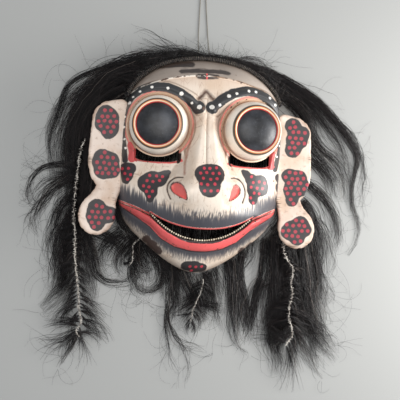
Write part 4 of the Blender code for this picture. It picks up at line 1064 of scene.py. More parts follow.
for side, label in ((-1, "left"), (1, "right")):
    line = smooth_route([(side * x + EAR_SHIFT[side][0], y + EAR_SHIFT[side][1]) for x, y in EAR_OUTLINE],
                        14, closed=True)
    ahead = np.roll(line, -1, axis=0) - np.roll(line, 1, axis=0)
    inward = np.stack([-ahead[:, 1], ahead[:, 0]], axis=1) / np.linalg.norm(ahead, axis=1)[:, None]
    if np.sum(inward * (line.mean(axis=0) - line)) < 0:
        inward = -inward
    turn = np.arange(len(line)) / len(line) * 2 * math.pi
    chipped_away = 0.6 * np.clip(np.sin(9 * turn + 2 * side) - 0.9, 0, 1) * 5
    nicks = 0.25 * np.sin(23 * turn + side) + 0.22 * np.sin(41 * turn) + chipped_away
    rings = []
    for height, inset in EAR_LAYERS:
        edge = line + inward * (inset + np.maximum(nicks, 0))[:, None]
        lift = EAR_LIFT * smooth((np.abs(edge[:, 0]) - FACE_HALF_WIDTH) / 30)
        rings.append(np.column_stack([edge, height + lift]))
    count = len(line)
    faces = []
    for ring in range(len(rings) - 1):
        low, high = ring * count, (ring + 1) * count
        faces += [(low + i, low + (i + 1) % count, high + (i + 1) % count, high + i) for i in range(count)]
    ear_rim = [tuple(range(count)), tuple(range((len(rings) - 1) * count, len(rings) * count))]
    ear = mesh_object("carved_ear_" + label, np.vstack(rings), faces + ear_rim, ear_paint)
    flat = bmesh.new()
    flat.from_mesh(ear.data)
    wide = [f for f in flat.faces if len(f.verts) > 4]
    bmesh.ops.triangulate(flat, faces=wide)
    for _ in range(3):
        long_edges = [e for e in flat.edges if e.calc_length() > LONGEST_EDGE * MM]
        bmesh.ops.subdivide_edges(flat, edges=long_edges, cuts=1)
        bmesh.ops.triangulate(flat, faces=[f for f in flat.faces if len(f.verts) > 4])
    flat.to_mesh(ear.data)
    flat.free()
    cheek = polar_places(HOLLOW_SEGMENTS, CHEEK_RINGS, rim_radius, face_height)
    cheek_faces = ring_faces(HOLLOW_SEGMENTS, CHEEK_RINGS) + [tuple(range(HOLLOW_SEGMENTS))]
    apply_boolean(ear, mesh_object("cheek", cheek, cheek_faces, ear_paint))
    ex, ey = mask_places(ear)[:, :2].T
    keep_value(ear, "spots", np.min([disc_field(ex, ey, s) for s in EAR_SPOTS[side]], axis=0))
    edge_away = np.full(len(ex), 1e9)
    for x, y in line:
        edge_away = np.minimum(edge_away, np.hypot(ex - x, ey - y))
    keep_value(ear, "from_edge", edge_away)
    marks = []
    for seed, spot in enumerate(EAR_SPOTS[side]):
        marks += [d + (EAR_DOT_RADIUS,) for d in scattered_dots(spot, 10 * seed + side + 1)]
    keep_nearest(ear, "red_dot", marks)
    shade_by_angle(ear, 35)
    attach(ear, "root")
    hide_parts("ear_" + label)

# Hair band: the roots of the mane, plaited into a narrow edge that is sewn round the crown
# with pale stitches. Short broken hairs stand out of it all along.
BAND_HEIGHT = 24.0
BAND_REACH = 3.2
BAND_FROM, BAND_TO, BAND_STEPS = 41, 139, 260
PLAIT_LENGTH = 7.5
PLAIT_RADIUS = 1.05
STITCH_SPACING = 1.9
STITCH_RADIUS = 0.16
# A stitch crosses the band from its inner to its outer edge: how far out, and how high.
STITCH_ARCH = ((-2.6, -0.4), (-1.9, 1.2), (0, 2.0), (1.6, 1.4), (2.4, -0.2))
band_angles = np.radians(np.linspace(BAND_FROM, BAND_TO, BAND_STEPS))


def wall_reach(angle, height):
    """How far out the face's outer wall is at this height."""
    reach = float(rim_radius(angle)) * np.linspace(1.0, 0.7, 121)
    heights = face_height(reach * math.cos(angle), reach * math.sin(angle))
    return float(np.interp(height, heights, reach))


band_reach = np.array([wall_reach(a, BAND_HEIGHT) + BAND_REACH for a in band_angles])
band_x, band_y = band_reach * np.cos(band_angles), band_reach * np.sin(band_angles)
band_run = np.concatenate([[0], np.cumsum(np.hypot(np.diff(band_x), np.diff(band_y)))])


def frames_along(routes):
    """Unit vectors to the side of routes, level with the floor."""
    ahead = np.gradient(routes, axis=1)
    flat = ahead.copy()
    flat[..., 2] = 0
    flat /= np.maximum(np.linalg.norm(flat, axis=2, keepdims=True), 1e-9)
    return np.stack([-flat[..., 1], flat[..., 0], np.zeros_like(flat[..., 0])], axis=2)


def strand_object(name, routes, radii, material, sides=3):
    """Closed thin tubes along routes (strands x points x 3, in mm) with a radius at each point."""
    count, points = routes.shape[:2]
    sideways = frames_along(routes)
    slope = np.gradient(routes, axis=1)
    slope /= np.maximum(np.linalg.norm(slope, axis=2, keepdims=True), 1e-9)
    upwards = np.cross(slope, -sideways)
    turns = 2 * math.pi * np.arange(sides) / sides + math.pi / 2
    ring = np.cos(turns)[:, None] * sideways[:, :, None, :]
    ring = ring + np.sin(turns)[:, None] * upwards[:, :, None, :]
    places = routes[:, :, None, :] + radii[:, :, None, None] * ring
    places[..., 2] = np.maximum(places[..., 2], 0.1)
    index = np.arange(count * points * sides).reshape(count, points, sides)
    after = np.roll(index, -1, axis=2)
    quads = np.stack([index[:, :-1], after[:, :-1], after[:, 1:], index[:, 1:]], axis=-1).reshape(-1, 4)
    ends = np.concatenate([index[:, 0, ::-1], index[:, -1]])
    mesh = bpy.data.meshes.new(name)
    mesh.vertices.add(places.size // 3)
    mesh.vertices.foreach_set("co", (places.reshape(-1, 3) * MM + MASK_MIDDLE).ravel())
    corners = np.concatenate([quads.ravel(), ends.ravel()])
    mesh.loops.add(len(corners))
    mesh.loops.foreach_set("vertex_index", corners)
    sizes = np.concatenate([np.full(len(quads), 4), np.full(len(ends), sides)])
    mesh.polygons.add(len(sizes))
    mesh.polygons.foreach_set("loop_start", np.concatenate([[0], np.cumsum(sizes)[:-1]]))
    mesh.update(calc_edges=True)
    mesh.materials.append(material)
    mesh.polygons.foreach_set("use_smooth", np.ones(len(sizes), bool))
    made = bpy.data.objects.new(name, mesh)
    bpy.context.scene.collection.objects.link(made)
    tone = np.random.default_rng(len(name)).uniform(0, 1, count)
    keep_value(made, "strand_tone", np.repeat(tone, points * sides))
    keep_value(made, "strand_share", np.tile(np.repeat(np.linspace(0, 1, points), sides), count))
    return made


hair_look, tree, shader = new_material("black hair")
tone = kept(tree, "strand_tone").outputs["Fac"]
colour = layer(tree, paint(7, 5, 6), ranged(tree, tone, 0.5, 1.0, 0, 0.85), paint(45, 37, 36))
colour = layer(tree, colour, ranged(tree, tone, 0.978, 0.983), paint(96, 88, 82))
tree.links.new(colour, shader.inputs["Base Color"])
shader.inputs["Roughness"].default_value = 0.42
shader.inputs["Specular IOR Level"].default_value = 0.35
stitch_look, tree, shader = new_material("dull stitching thread")
shade = shade_node(tree, "TexNoise", {"Vector": shade_node(tree, "TexCoord").outputs["Object"],
                                      "Scale": 500.0})
tree.links.new(layer(tree, paint(142, 132, 118), ranged(tree, shade.outputs["Fac"], 0.4, 0.6),
                     paint(58, 50, 45)), shader.inputs["Base Color"])
shader.inputs["Roughness"].default_value = 0.8
cord_look, tree, shader = new_material("pale cord")
shade = shade_node(tree, "TexNoise", {"Vector": shade_node(tree, "TexCoord").outputs["Object"],
                                      "Scale": 320.0})
tree.links.new(layer(tree, paint(206, 200, 190), ranged(tree, shade.outputs["Fac"], 0.45, 0.62),
                     paint(86, 78, 72)), shader.inputs["Base Color"])
shader.inputs["Roughness"].default_value = 0.8

phase = band_run / PLAIT_LENGTH * 2 * math.pi
plait = []
for third in range(3):
    swing = 1.15 * np.sin(phase + third * 2 * math.pi / 3)
    lift = 0.7 * np.sin(2 * (phase + third * 2 * math.pi / 3))
    out = band_reach + swing
    plait.append(np.column_stack([out * np.cos(band_angles), out * np.sin(band_angles),
                                  BAND_HEIGHT + lift]))
plait = np.array(plait)
band = strand_object("plaited_band", plait, np.full(plait.shape[:2], PLAIT_RADIUS), hair_look, sides=8)
stitch_routes = []
chance = np.random.default_rng(21)
for run in np.arange(2, band_run[-1] - 2, STITCH_SPACING):
    angle = np.interp(run + chance.uniform(-0.4, 0.4), band_run, band_angles)
    reach = np.interp(angle, band_angles, band_reach)
    lean = chance.uniform(-0.004, 0.008)
    stitch_routes.append([((reach + off) * math.cos(angle + lean * off / 2),
                           (reach + off) * math.sin(angle + lean * off / 2),
                           BAND_HEIGHT + high) for off, high in STITCH_ARCH])
stitch_routes = np.array(stitch_routes)
stitches = strand_object("band_stitches", stitch_routes, np.full(stitch_routes.shape[:2], STITCH_RADIUS),
                         stitch_look, sides=5)

FRINGE_HAIRS = 900
FRINGE_POINTS = 8
FRINGE_RADIUS = 0.16
chance = np.random.default_rng(22)
angle = np.interp(chance.uniform(0, band_run[-1], FRINGE_HAIRS), band_run, band_angles)
root_reach = np.interp(angle, band_angles, band_reach) + chance.uniform(-1.5, 1.5, FRINGE_HAIRS)
length = 3 + 17 * chance.uniform(0, 1, FRINGE_HAIRS) ** 3
lean = angle + chance.normal(0, 0.55, FRINGE_HAIRS)
bend = chance.normal(0, 0.9, FRINGE_HAIRS)
run = np.linspace(0, 1, FRINGE_POINTS)[None, :]
heading = lean[:, None] + bend[:, None] * run
step = length[:, None] / (FRINGE_POINTS - 1)
fringe = np.empty((FRINGE_HAIRS, FRINGE_POINTS, 3))
fringe[..., 0] = (root_reach * np.cos(angle))[:, None] + np.cumsum(np.cos(heading), axis=1) * step
fringe[..., 1] = (root_reach * np.sin(angle))[:, None] + np.cumsum(np.sin(heading), axis=1) * step
rise = chance.uniform(0.0, 0.5, FRINGE_HAIRS)[:, None]
fringe[..., 2] = BAND_HEIGHT + rise * length[:, None] * (run - run ** 2) * 2
fringe_radii = FRINGE_RADIUS * (1 - 0.75 * run) * np.ones((FRINGE_HAIRS, 1))
fringe_hair = strand_object("band_fringe", fringe, fringe_radii, hair_look)
for made, slot in ((band, "band_binding"), (stitches, "band_binding"), (fringe_hair, "dark_hair")):
    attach(made, "root")
    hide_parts("hair_band")

# Hair: real hair, tied in locks to the band and to holes along the edge of the jaw.
# Each lock gives its number of strands, how far the tips stray, how much they wave, and its route
# from root to tip as x, y, height and width.
LOCKS = {
    "mane_left_outer": (
        (70, 0.6, 1, ((-58, 106, 24, 8), (-83, 103, 18, 8), (-102, 98, 13, 5), (-114, 94, 9, 4),
            (-128, 87, 7, 4), (-140, 76, 5, 3.5), (-144, 66, 5, 3.5), (-147, 54, 4, 4),
            (-149, 43, 4, 4), (-153, 31, 4, 4), (-155, 18, 4, 4), (-152, 4, 4, 4),
            (-150, -13, 3, 4), (-149, -28, 3, 3), (-153, -39, 3, 3), (-160, -50, 2, 3))),
        (230, 0.6, 1.4, ((-48, 111, 24, 9), (-70, 106, 20, 12), (-90, 95, 14, 14),
            (-105, 82, 10, 14), (-117, 67, 8, 14), (-126, 50, 7, 13), (-134, 33, 6, 13),
            (-137, 15, 6, 12), (-137, -6, 5, 11), (-136, -26, 4, 9), (-139, -45, 3, 5))),
        (320, 0.6, 1.4, ((-67, 93, 24, 16), (-89, 86, 18, 24), (-109, 69, 12, 24),
            (-122, 50, 10, 22), (-128, 27, 9, 20), (-127, 1, 9, 18), (-124, -24, 8, 16),
            (-125, -48, 7, 16), (-127, -73, 6, 16), (-128, -100, 5, 14), (-129, -125, 4, 10))),
        (30, 1.7, 1.6, ((-121, -7, 8, 8), (-133, -2, 6, 8), (-145, -3, 5, 6), (-157, -6, 4, 4),
            (-167, -12, 3, 4), (-174, -22, 3, 4), (-176, -35, 3, 4), (-171, -46, 3, 4),
            (-164, -49, 3, 4), (-155, -46, 3, 4), (-149, -38, 3, 3))),
        (28, 1.9, 2, ((-122, -17, 8, 9), (-139, -15, 5, 8), (-153, -19, 4, 6), (-163, -26, 3, 4),
            (-170, -34, 3, 4), (-174, -43, 2, 4))),
        (52, 1.8, 2.2, ((-118, -15, 8, 10), (-132, -18, 6, 11), (-145, -27, 4, 11),
            (-156, -38, 3, 10), (-163, -50, 3, 8), (-167, -65, 2, 8), (-162, -81, 2, 4))),
        (48, 1.8, 2, ((-117, -29, 8, 12), (-131, -36, 6, 12), (-141, -47, 5, 10), (-146, -64, 4, 9),
            (-149, -82, 3, 8), (-146, -101, 3, 8), (-137, -115, 2, 5))),
        (36, 1.6, 2.6, ((-68, 105, 22, 10), (-90, 94, 18, 16), (-109, 73, 14, 20),
            (-122, 50, 12, 20), (-131, 25, 9, 16), (-133, 1, 7, 12))),
        (34, 1.8, 3, ((-80, 98, 22, 10), (-103, 83, 17, 16), (-114, 59, 13, 18), (-119, 30, 11, 18),
            (-123, 1, 9, 14))),
        (24, 2, 3, ((-111, 79, 16, 10), (-127, 70, 10, 14), (-141, 57, 7, 14), (-150, 41, 5, 12),
            (-155, 20, 4, 8), (-158, -1, 3, 6))),
    ),
    "mane_left_inner": (
        (330, 0.5, 1.3, ((-79, 82, 24, 14), (-96, 72, 16, 18), (-110, 59, 10, 16),
            (-117, 43, 7, 14), (-118, 20, 7, 14), (-118, -5, 7, 14), (-118, -29, 7, 14),
            (-121, -54, 6, 14), (-125, -79, 6, 14), (-128, -102, 5, 13), (-129, -122, 5, 12),
            (-136, -136, 4, 11), (-146, -146, 3, 7), (-154, -154, 2, 4))),
        (200, 0.6, 1.2, ((-80, 67, 16, 10), (-96, 60, 8, 10), (-105, 46, 6, 9), (-108, 23, 6, 10),
            (-109, -3, 6, 10), (-111, -29, 6, 12), (-114, -54, 6, 14), (-115, -79, 6, 14),
            (-112, -99, 6, 12), (-106, -117, 5, 9), (-102, -134, 4, 6), (-102, -144, 3, 4))),
        (96, 1.2, 2, ((-126, -52, 8, 15), (-134, -67, 6, 15), (-139, -86, 5, 14),
            (-141, -105, 4, 12), (-138, -123, 3, 9), (-139, -138, 2, 8))),
        (36, 1.3, 2.2, ((-121, -66, 9, 12), (-126, -87, 7, 14), (-132, -106, 5, 14),
            (-135, -127, 4, 12), (-144, -144, 3, 10), (-155, -157, 2, 6))),
        (56, 1, 1.6, ((-117, -68, 8, 12), (-108, -83, 6, 12), (-102, -101, 5, 10),
            (-99, -113, 4, 9), (-90, -121, 4, 8), (-78, -122, 4, 6), (-67, -119, 4, 6),
            (-61, -109, 5, 6), (-57, -96, 6, 4))),
        (64, 1.2, 2, ((-74, -70, 10, 15), (-86, -79, 7, 15), (-94, -92, 5, 14), (-95, -106, 4, 10),
            (-88, -116, 3, 8))),
        (56, 1.2, 1.8, ((-64, -74, 10, 12), (-73, -85, 7, 12), (-79, -98, 5, 10), (-76, -110, 4, 8),
            (-68, -116, 3, 6))),
        (48, 1.2, 2, ((-109, -70, 8, 12), (-95, -75, 7, 12), (-80, -83, 6, 10), (-67, -93, 5, 8),
            (-60, -103, 4, 6))),
    ),
    "jaw_curl": (
        (64, 1, 1.4, ((-51, -75, 14, 12), (-41, -83, 9, 15), (-33, -93, 6, 14), (-29, -108, 5, 10),
            (-32, -122, 4, 8), (-41, -131, 3, 6), (-52, -133, 3, 6), (-60, -127, 3, 4),
            (-61, -118, 3, 4), (-54, -111, 3, 4), (-45, -111, 3, 3))),
        (70, 1.2, 1.6, ((-56, -73, 14, 15), (-51, -86, 8, 18), (-44, -98, 6, 18),
            (-39, -110, 5, 14), (-42, -121, 4, 8), (-51, -123, 3, 6))),
        (64, 1.1, 1.6, ((-60, -75, 12, 12), (-60, -88, 7, 12), (-57, -101, 5, 12),
            (-49, -109, 4, 9), (-40, -106, 4, 6))),
        (32, 1.7, 2.4, ((-62, -101, 6, 9), (-64, -113, 4, 9), (-59, -128, 3, 9),
            (-52, -140, 2, 8))),
    ),
    "chin_lock_left": (
        (120, 0.6, 1.4, ((-36, -79, 14, 10), (-30, -93, 9, 12), (-25, -111, 7, 12),
            (-25, -129, 5, 9), (-25, -144, 4, 6))),
        (44, 1.2, 2, ((-29, -89, 8, 7), (-22, -106, 6, 8), (-21, -126, 5, 7), (-21, -145, 4, 6),
            (-25, -166, 3, 4), (-22, -191, 2, 3))),
        (60, 1, 1.6, ((-24, -88, 12, 9), (-17, -107, 7, 9), (-15, -126, 5, 7), (-15, -145, 3, 5),
            (-16, -162, 2, 4))),
        (10, 1, 2, ((-26, -124, 5, 5), (-26, -145, 4, 4), (-23, -162, 3, 3), (-15, -176, 3, 3),
            (-6, -191, 3, 3), (-1, -207, 2, 3), (-1, -226, 2, 2), (-5, -241, 2, 2))),
        (6, 1.4, 2, ((-27, -139, 4, 4), (-26, -162, 3, 3), (-23, -185, 2, 4), (-16, -208, 2, 5),
            (-9, -231, 2, 4))),
        (7, 1.6, 2.6, ((-26, -148, 3, 3), (-16, -174, 3, 4), (6, -188, 2, 5), (27, -193, 2, 4))),
    ),
    "chin_switch": (
        (66, 1.1, 2, ((-11, -104, 12, 14), (-5, -119, 8, 14), (2, -133, 6, 12), (5, -146, 4, 9),
            (2, -159, 3, 5), (0, -165, 2, 3))),
        (56, 1.1, 2, ((10, -107, 12, 12), (14, -122, 8, 12), (17, -137, 5, 10), (16, -150, 4, 8),
            (8, -159, 3, 6))),
        (44, 1.1, 2, ((16, -106, 10, 8), (21, -124, 6, 8), (24, -141, 4, 6), (27, -156, 3, 4),
            (29, -171, 2, 3))),
        (50, 1.2, 2.4, ((5, -138, 5, 6), (15, -141, 4, 7), (26, -143, 3, 6), (35, -143, 2, 4))),
        (40, 1.2, 2.4, ((6, -129, 6, 8), (-6, -138, 4, 8), (-13, -145, 3, 6), (-15, -153, 2, 4))),
    ),
    "chin_lock_right": (
        (120, 1, 2.2, ((38, -87, 14, 9), (40, -102, 8, 10), (43, -120, 6, 9), (44, -141, 5, 8),
            (47, -159, 4, 7), (50, -176, 3, 6), (57, -187, 2, 4), (66, -194, 2, 3))),
        (120, 1, 1.9, ((51, -83, 8, 5), (50, -98, 6, 6), (51, -115, 5, 7), (54, -132, 4, 8),
            (57, -150, 4, 8), (60, -168, 3, 6), (57, -183, 2, 4))),
        (90, 1.1, 1.9, ((74, -112, 6, 5), (69, -125, 5, 8), (67, -143, 4, 8), (65, -159, 4, 7),
            (63, -175, 2, 4))),
        (60, 0.9, 1.5, ((73, -69, 12, 5), (73, -82, 9, 5), (73, -98, 7, 5), (72, -115, 5, 6),
            (69, -131, 4, 6), (69, -147, 3, 6))),
        (170, 0.6, 1.3, ((81, -66, 14, 8), (83, -83, 10, 9), (86, -104, 8, 11), (88, -126, 6, 14),
            (89, -149, 5, 14), (91, -170, 4, 10), (95, -187, 3, 6), (101, -202, 2, 4))),
    ),
    "switch_right_left_half": (
        (190, 0.9, 1.9, ((84, -66, 16, 10), (90, -82, 10, 11), (91, -101, 8, 12), (89, -122, 8, 16),
            (91, -143, 8, 18), (92, -162, 6, 14), (92, -181, 4, 8), (98, -198, 3, 5),
            (100, -213, 2, 4))),
        (170, 1, 2, ((93, -74, 16, 12), (99, -93, 11, 15), (99, -114, 10, 17), (104, -134, 9, 16),
            (109, -153, 7, 13), (116, -172, 5, 9), (127, -189, 4, 6), (138, -205, 3, 4),
            (144, -218, 2, 3))),
        (60, 1.2, 2.6, ((90, -134, 8, 12), (90, -154, 5, 12), (86, -175, 4, 10), (88, -194, 3, 8),
            (95, -214, 2, 6))),
        (44, 1.4, 3, ((107, -145, 9, 5), (96, -143, 10, 7), (86, -146, 9, 8), (80, -155, 6, 7),
            (78, -168, 3, 5))),
        (36, 1.4, 3, ((107, -160, 8, 5), (96, -155, 9, 7), (86, -160, 8, 7), (82, -170, 5, 6))),
        (36, 1.5, 3, ((101, -122, 10, 5), (88, -117, 10, 8), (78, -124, 8, 8), (76, -136, 5, 6))),
    ),
    "switch_right_right_half": (
        (130, 1, 2, ((110, -64, 16, 9), (115, -83, 11, 10), (119, -107, 9, 11), (123, -130, 8, 11),
            (129, -150, 6, 11), (136, -169, 5, 9), (148, -184, 4, 7), (161, -196, 2, 4))),
        (40, 1.4, 2.4, ((119, -54, 12, 6), (125, -72, 9, 7), (130, -93, 7, 7), (133, -117, 6, 7),
            (137, -137, 5, 7), (143, -160, 4, 6), (152, -180, 2, 4))),
        (60, 1.2, 2.6, ((113, -121, 8, 10), (121, -144, 6, 10), (131, -169, 4, 9),
            (139, -190, 3, 7), (145, -208, 2, 5))),
        (22, 1.8, 3, ((126, -78, 7, 8), (135, -101, 5, 9), (143, -122, 4, 9), (150, -147, 2, 7))),
        (36, 1.4, 3, ((109, -152, 9, 5), (120, -151, 9, 8), (133, -159, 7, 9), (146, -171, 4, 8),
            (159, -180, 2, 5))),
    ),
    "mane_right_outer": (
        (150, 0.4, 0.8, ((-2, 114, 24, 7), (26, 112, 20, 8), (55, 106, 16, 9), (83, 98, 12, 9),
            (111, 85, 9, 8), (132, 70, 7, 7), (148, 54, 6, 6), (161, 38, 5, 5), (169, 26, 4, 4),
            (170, 11, 4, 3), (166, -9, 3, 3), (168, -30, 3, 3), (175, -47, 3, 3), (175, -66, 2, 3),
            (166, -83, 2, 3))),
        (110, 0.7, 1.1, ((28, 111, 12, 9), (54, 103, 12, 11), (82, 91, 12, 12), (103, 81, 11, 11),
            (121, 66, 10, 9), (138, 47, 8, 7), (151, 30, 6, 6), (158, 9, 5, 5), (161, -8, 4, 4),
            (161, -25, 3, 3))),
        (110, 0.7, 1.2, ((53, 102, 24, 11), (79, 91, 14, 14), (99, 77, 9, 14), (114, 60, 7, 10),
            (124, 42, 6, 8), (137, 28, 5, 7), (152, 18, 4, 6), (160, 2, 3, 5), (162, -15, 2, 4))),
        (16, 1.6, 2.4, ((139, 64, 6, 6), (160, 47, 4, 6), (173, 24, 3, 6), (177, -8, 2, 6),
            (172, -39, 2, 6))),
        (30, 1.8, 2.6, ((63, 99, 20, 8), (88, 87, 14, 12), (111, 75, 10, 14), (130, 57, 8, 14),
            (145, 37, 6, 12))),
    ),
    "mane_right_inner": (
        (90, 0.9, 1.6, ((69, 96, 10, 10), (85, 84, 12, 12), (101, 70, 12, 12), (112, 53, 12, 10),
            (119, 35, 9, 8), (128, 21, 7, 8), (138, 9, 6, 7), (146, -6, 5, 6), (151, -25, 4, 5))),
        (22, 1.2, 2, ((111, 41, 8, 8), (128, 29, 6, 9), (143, 18, 5, 9), (156, -1, 4, 8),
            (163, -22, 3, 7), (162, -41, 2, 5))),
        (60, 1.1, 2, ((111, 26, 10, 9), (121, 18, 8, 10), (133, 8, 6, 9), (143, -5, 5, 8),
            (147, -25, 3, 6))),
        (46, 1.1, 2, ((111, -6, 8, 8), (126, -15, 6, 9), (139, -27, 5, 9), (148, -44, 4, 8),
            (153, -63, 3, 7), (150, -80, 2, 5))),
        (80, 1, 1.9, ((109, -27, 12, 8), (119, -34, 9, 9), (126, -48, 7, 9), (131, -69, 6, 9),
            (133, -91, 5, 9), (133, -115, 4, 8), (138, -138, 3, 6))),
        (20, 1.8, 2.6, ((127, -45, 7, 7), (138, -58, 5, 8), (145, -78, 4, 8), (146, -100, 3, 7),
            (144, -116, 2, 5))),
    ),
}
LOCKS["switch_left"] = (
    (18, 0.8, 1.0, ((-114, -176, 8, 3), (-120, -190, 5, 3), (-127, -202, 3, 2), (-134, -214, 2, 2))),
    (18, 2.5, 2.0, ((-116, -172, 8, 6), (-130, -184, 5, 10), (-146, -190, 3, 12), (-160, -196, 2, 10))),
)
LOCKS["hair_band"] = (
    (130, 0.8, 1.0, ((14, 112, 25, 4), (0, 114, 21, 5), (-25, 117, 18, 8), (-50, 113, 14, 8),
                     (-72, 104, 10, 7))),
    (110, 0.8, 1.0, ((-14, 113, 25, 4), (6, 114, 21, 5), (28, 112, 18, 6), (52, 107, 14, 7),
                     (76, 97, 10, 7))),
    (36, 2.4, 2.2, ((-30, 112, 24, 8), (-42, 118, 18, 12), (-58, 119, 10, 16), (-76, 116, 5, 14))),
    (20, 2.6, 2.4, ((30, 112, 24, 8), (46, 114, 18, 12), (62, 112, 10, 14), (80, 104, 5, 12))),
)
LOCKS["jaw_sides"] = (
    (120, 0.8, 1.4, ((-82, -33, 14, 8), (-82, -48, 8, 8), (-76, -62, 5, 9), (-64, -74, 4, 8),
                     (-55, -82, 3, 6))),
    (120, 0.8, 1.4, ((89, -32, 14, 8), (91, -49, 8, 9), (85, -64, 5, 10), (76, -75, 4, 9),
                     (68, -84, 3, 6))),
    (40, 1.3, 2, ((-19, -98, 12, 20), (-13, -113, 7, 22), (-6, -130, 3, 20), (-3, -142, 2, 14))),
    (34, 1.3, 2, ((21, -101, 12, 18), (26, -115, 7, 18), (32, -130, 3, 16), (35, -143, 2, 10))),
)
# Hair that lies inside the shell, behind the mouth and the slits. The mouth looks black because of it.
LOCKS["behind_the_mouth"] = tuple(
    (170, 0.3, 1.5, ((x, -30, 5, 30), (x + 2, -60, 3, 30), (x, -90, 2, 24), (x * 0.7, -98, 1.5, 20)))
    for x in (-48, -24, 0, 24, 48))
# Painted shade: this hair behind the slits stands in for the shade inside the hollow, which makes the slits
# look black.
LOCKS["behind_the_eyes"] = tuple(
    (150, 0.3, 1.5, ((x, 36, 5, 15), (x + 1, 22, 4, 17), (x, 8, 3, 17), (x - 1, -8, 2, 15)))
    for x in (-60, -46, -32, 36, 50, 64))
# The CAD nodes that the locks stand for, where their names differ.
REPLACED = {"behind_the_mouth": "mane_left", "behind_the_eyes": "mane_left", "jaw_sides": "chin_switch",
            "mane_left_outer": "mane_left", "mane_left_inner": "mane_left",
            "mane_right_outer": "mane_right", "mane_right_inner": "mane_right",
            "switch_right_left_half": "switch_right", "switch_right_right_half": "switch_right"}
LOCK_STEPS = 120
STRAND_POINTS = 22
STRAND_RADIUS = 0.19
# How far loose hair may reach, so that it stays within the mask's size.
LEFT_MOST, RIGHT_MOST, LOWEST = -183.0, 189.0, -232.0


def even_route(points, count):
    """The smooth route through a lock's points at evenly spaced places."""
    fine = smooth_route(points, 10)
    run = np.concatenate([[0], np.cumsum(np.linalg.norm(np.diff(fine[:, :2], axis=0), axis=1))])
    even = np.linspace(0, run[-1], count)
    return np.stack([np.interp(even, run, fine[:, k]) for k in range(fine.shape[1])], axis=1), run[-1]


def drawn_in(places):
    """Strands that would pass the limits, shrunk towards their roots until they don't."""
    root = places[:, :1]
    room = np.stack([root[..., 0] - LEFT_MOST, RIGHT_MOST - root[..., 0], root[..., 1] - LOWEST], axis=-1)
    away = places - root
    needed = np.stack([-away[..., 0].min(axis=1), away[..., 0].max(axis=1), -away[..., 1].min(axis=1)],
                      axis=-1)
    fit = np.min(np.where(needed > room[:, 0], room[:, 0] / np.maximum(needed, 1e-6), 1.0), axis=1)
    return root + away * np.clip(fit, 0.0, 1.0)[:, None, None]


def grow_lock(count, stray, wave, points, chance):
    """Strands of one lock: in clumps that wander across its width, waved, with uneven straying tips."""
    route, length = even_route(points, LOCK_STEPS)
    line = route[:, :3]
    sideways = frames_along(line[None])[0]
    clumps = max(4, count // 6)
    clump = chance.integers(0, clumps, count)
    clump_across = chance.uniform(-1, 1, clumps)[clump]
    clump_phase = chance.uniform(0, 2 * math.pi, clumps)[clump]
    clump_end = chance.uniform(0.68, 1.0, clumps)[clump]
    end = np.clip(clump_end + chance.normal(0, 0.09, count), 0.4, 1.0)
    narrowing = np.maximum.accumulate(route[::-1, 3])[::-1] / route[:, 3].max()
    rank = np.clip(chance.uniform(0.0, 1.0, clumps)[clump] + chance.normal(0, 0.08, count), 0.02, 1.0)
    reached = np.searchsorted(-narrowing, -rank * 0.96, side="right") / len(route)
    end = np.minimum(end, np.clip(reached + chance.uniform(0.0, 0.14, count), 0.18, 1.0))
    start = chance.uniform(0, 0.05, count)
    share = start[:, None] + (end - start)[:, None] * np.linspace(0, 1, STRAND_POINTS)[None, :]
    at = share * (len(route) - 1)
    whole = np.arange(len(route))
    places = np.stack([np.interp(at, whole, line[:, k]) for k in range(3)], axis=2)
    aside = np.stack([np.interp(at, whole, sideways[:, k]) for k in range(3)], axis=2)
    width = np.interp(at, whole, route[:, 3])
    late = np.clip((share - 0.35) / 0.65, 0, 1)
    fine = chance.normal(0, 0.26, count)[:, None] * (1 - 0.3 * late)
    across = (0.34 * clump_across[:, None] + fine) * (1 + 0.8 * late)
    across = across + stray * late ** 2 * chance.normal(0, 0.55, count)[:, None]
    loose = chance.uniform(0, 1, count) < 0.22
    across = across + loose[:, None] * chance.normal(0, 0.55, count)[:, None] * share ** 0.7
    runs = share * length
    long_wave = np.sin(2 * math.pi * runs / (46 + 10 * np.sin(clump_phase))[:, None] + clump_phase[:, None])
    own = chance.uniform(0, 2 * math.pi, count)[:, None]
    short_wave = np.sin(2 * math.pi * runs / chance.uniform(15, 30, count)[:, None] + own)
    far_wave = np.sin(2 * math.pi * runs / chance.uniform(38, 80, count)[:, None] + 1.7 * own)
    waved = wave * (0.5 * long_wave + 0.3 * short_wave + 1.1 * far_wave) * (0.45 + 0.75 * late)
    places += aside * (across * width + waved)[..., None]
    layer_share = chance.uniform(0.0, 1.0, count)[:, None]
    lift = layer_share * places[..., 2]
    lift = lift + 0.25 * np.sin(2 * math.pi * runs / 21 + own)
    near_root = np.clip(1 - share / 0.1, 0, 1)
    rooted = places[..., 2] * near_root * (0.55 + 0.45 * layer_share)
    places[..., 2] = np.maximum(lift * (1 - near_root) + rooted, 0.3)
    places = drawn_in(places)
    thickness = STRAND_RADIUS * chance.uniform(0.7, 1.25, count)[:, None]
    taper = 1 - 0.75 * np.clip((np.linspace(0, 1, STRAND_POINTS)[None, :] - 0.4) / 0.6, 0, 1)
    return places, thickness * taper


for number, (name, locks) in enumerate(LOCKS.items()):
    chance = np.random.default_rng(100 + number)
    grown = [grow_lock(*lock, chance) for lock in locks]
    strands = strand_object("hair_" + name, np.concatenate([g[0] for g in grown]),
                            np.concatenate([g[1] for g in grown]), hair_look)
    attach(strands, "root")
    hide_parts(REPLACED.get(name, name))

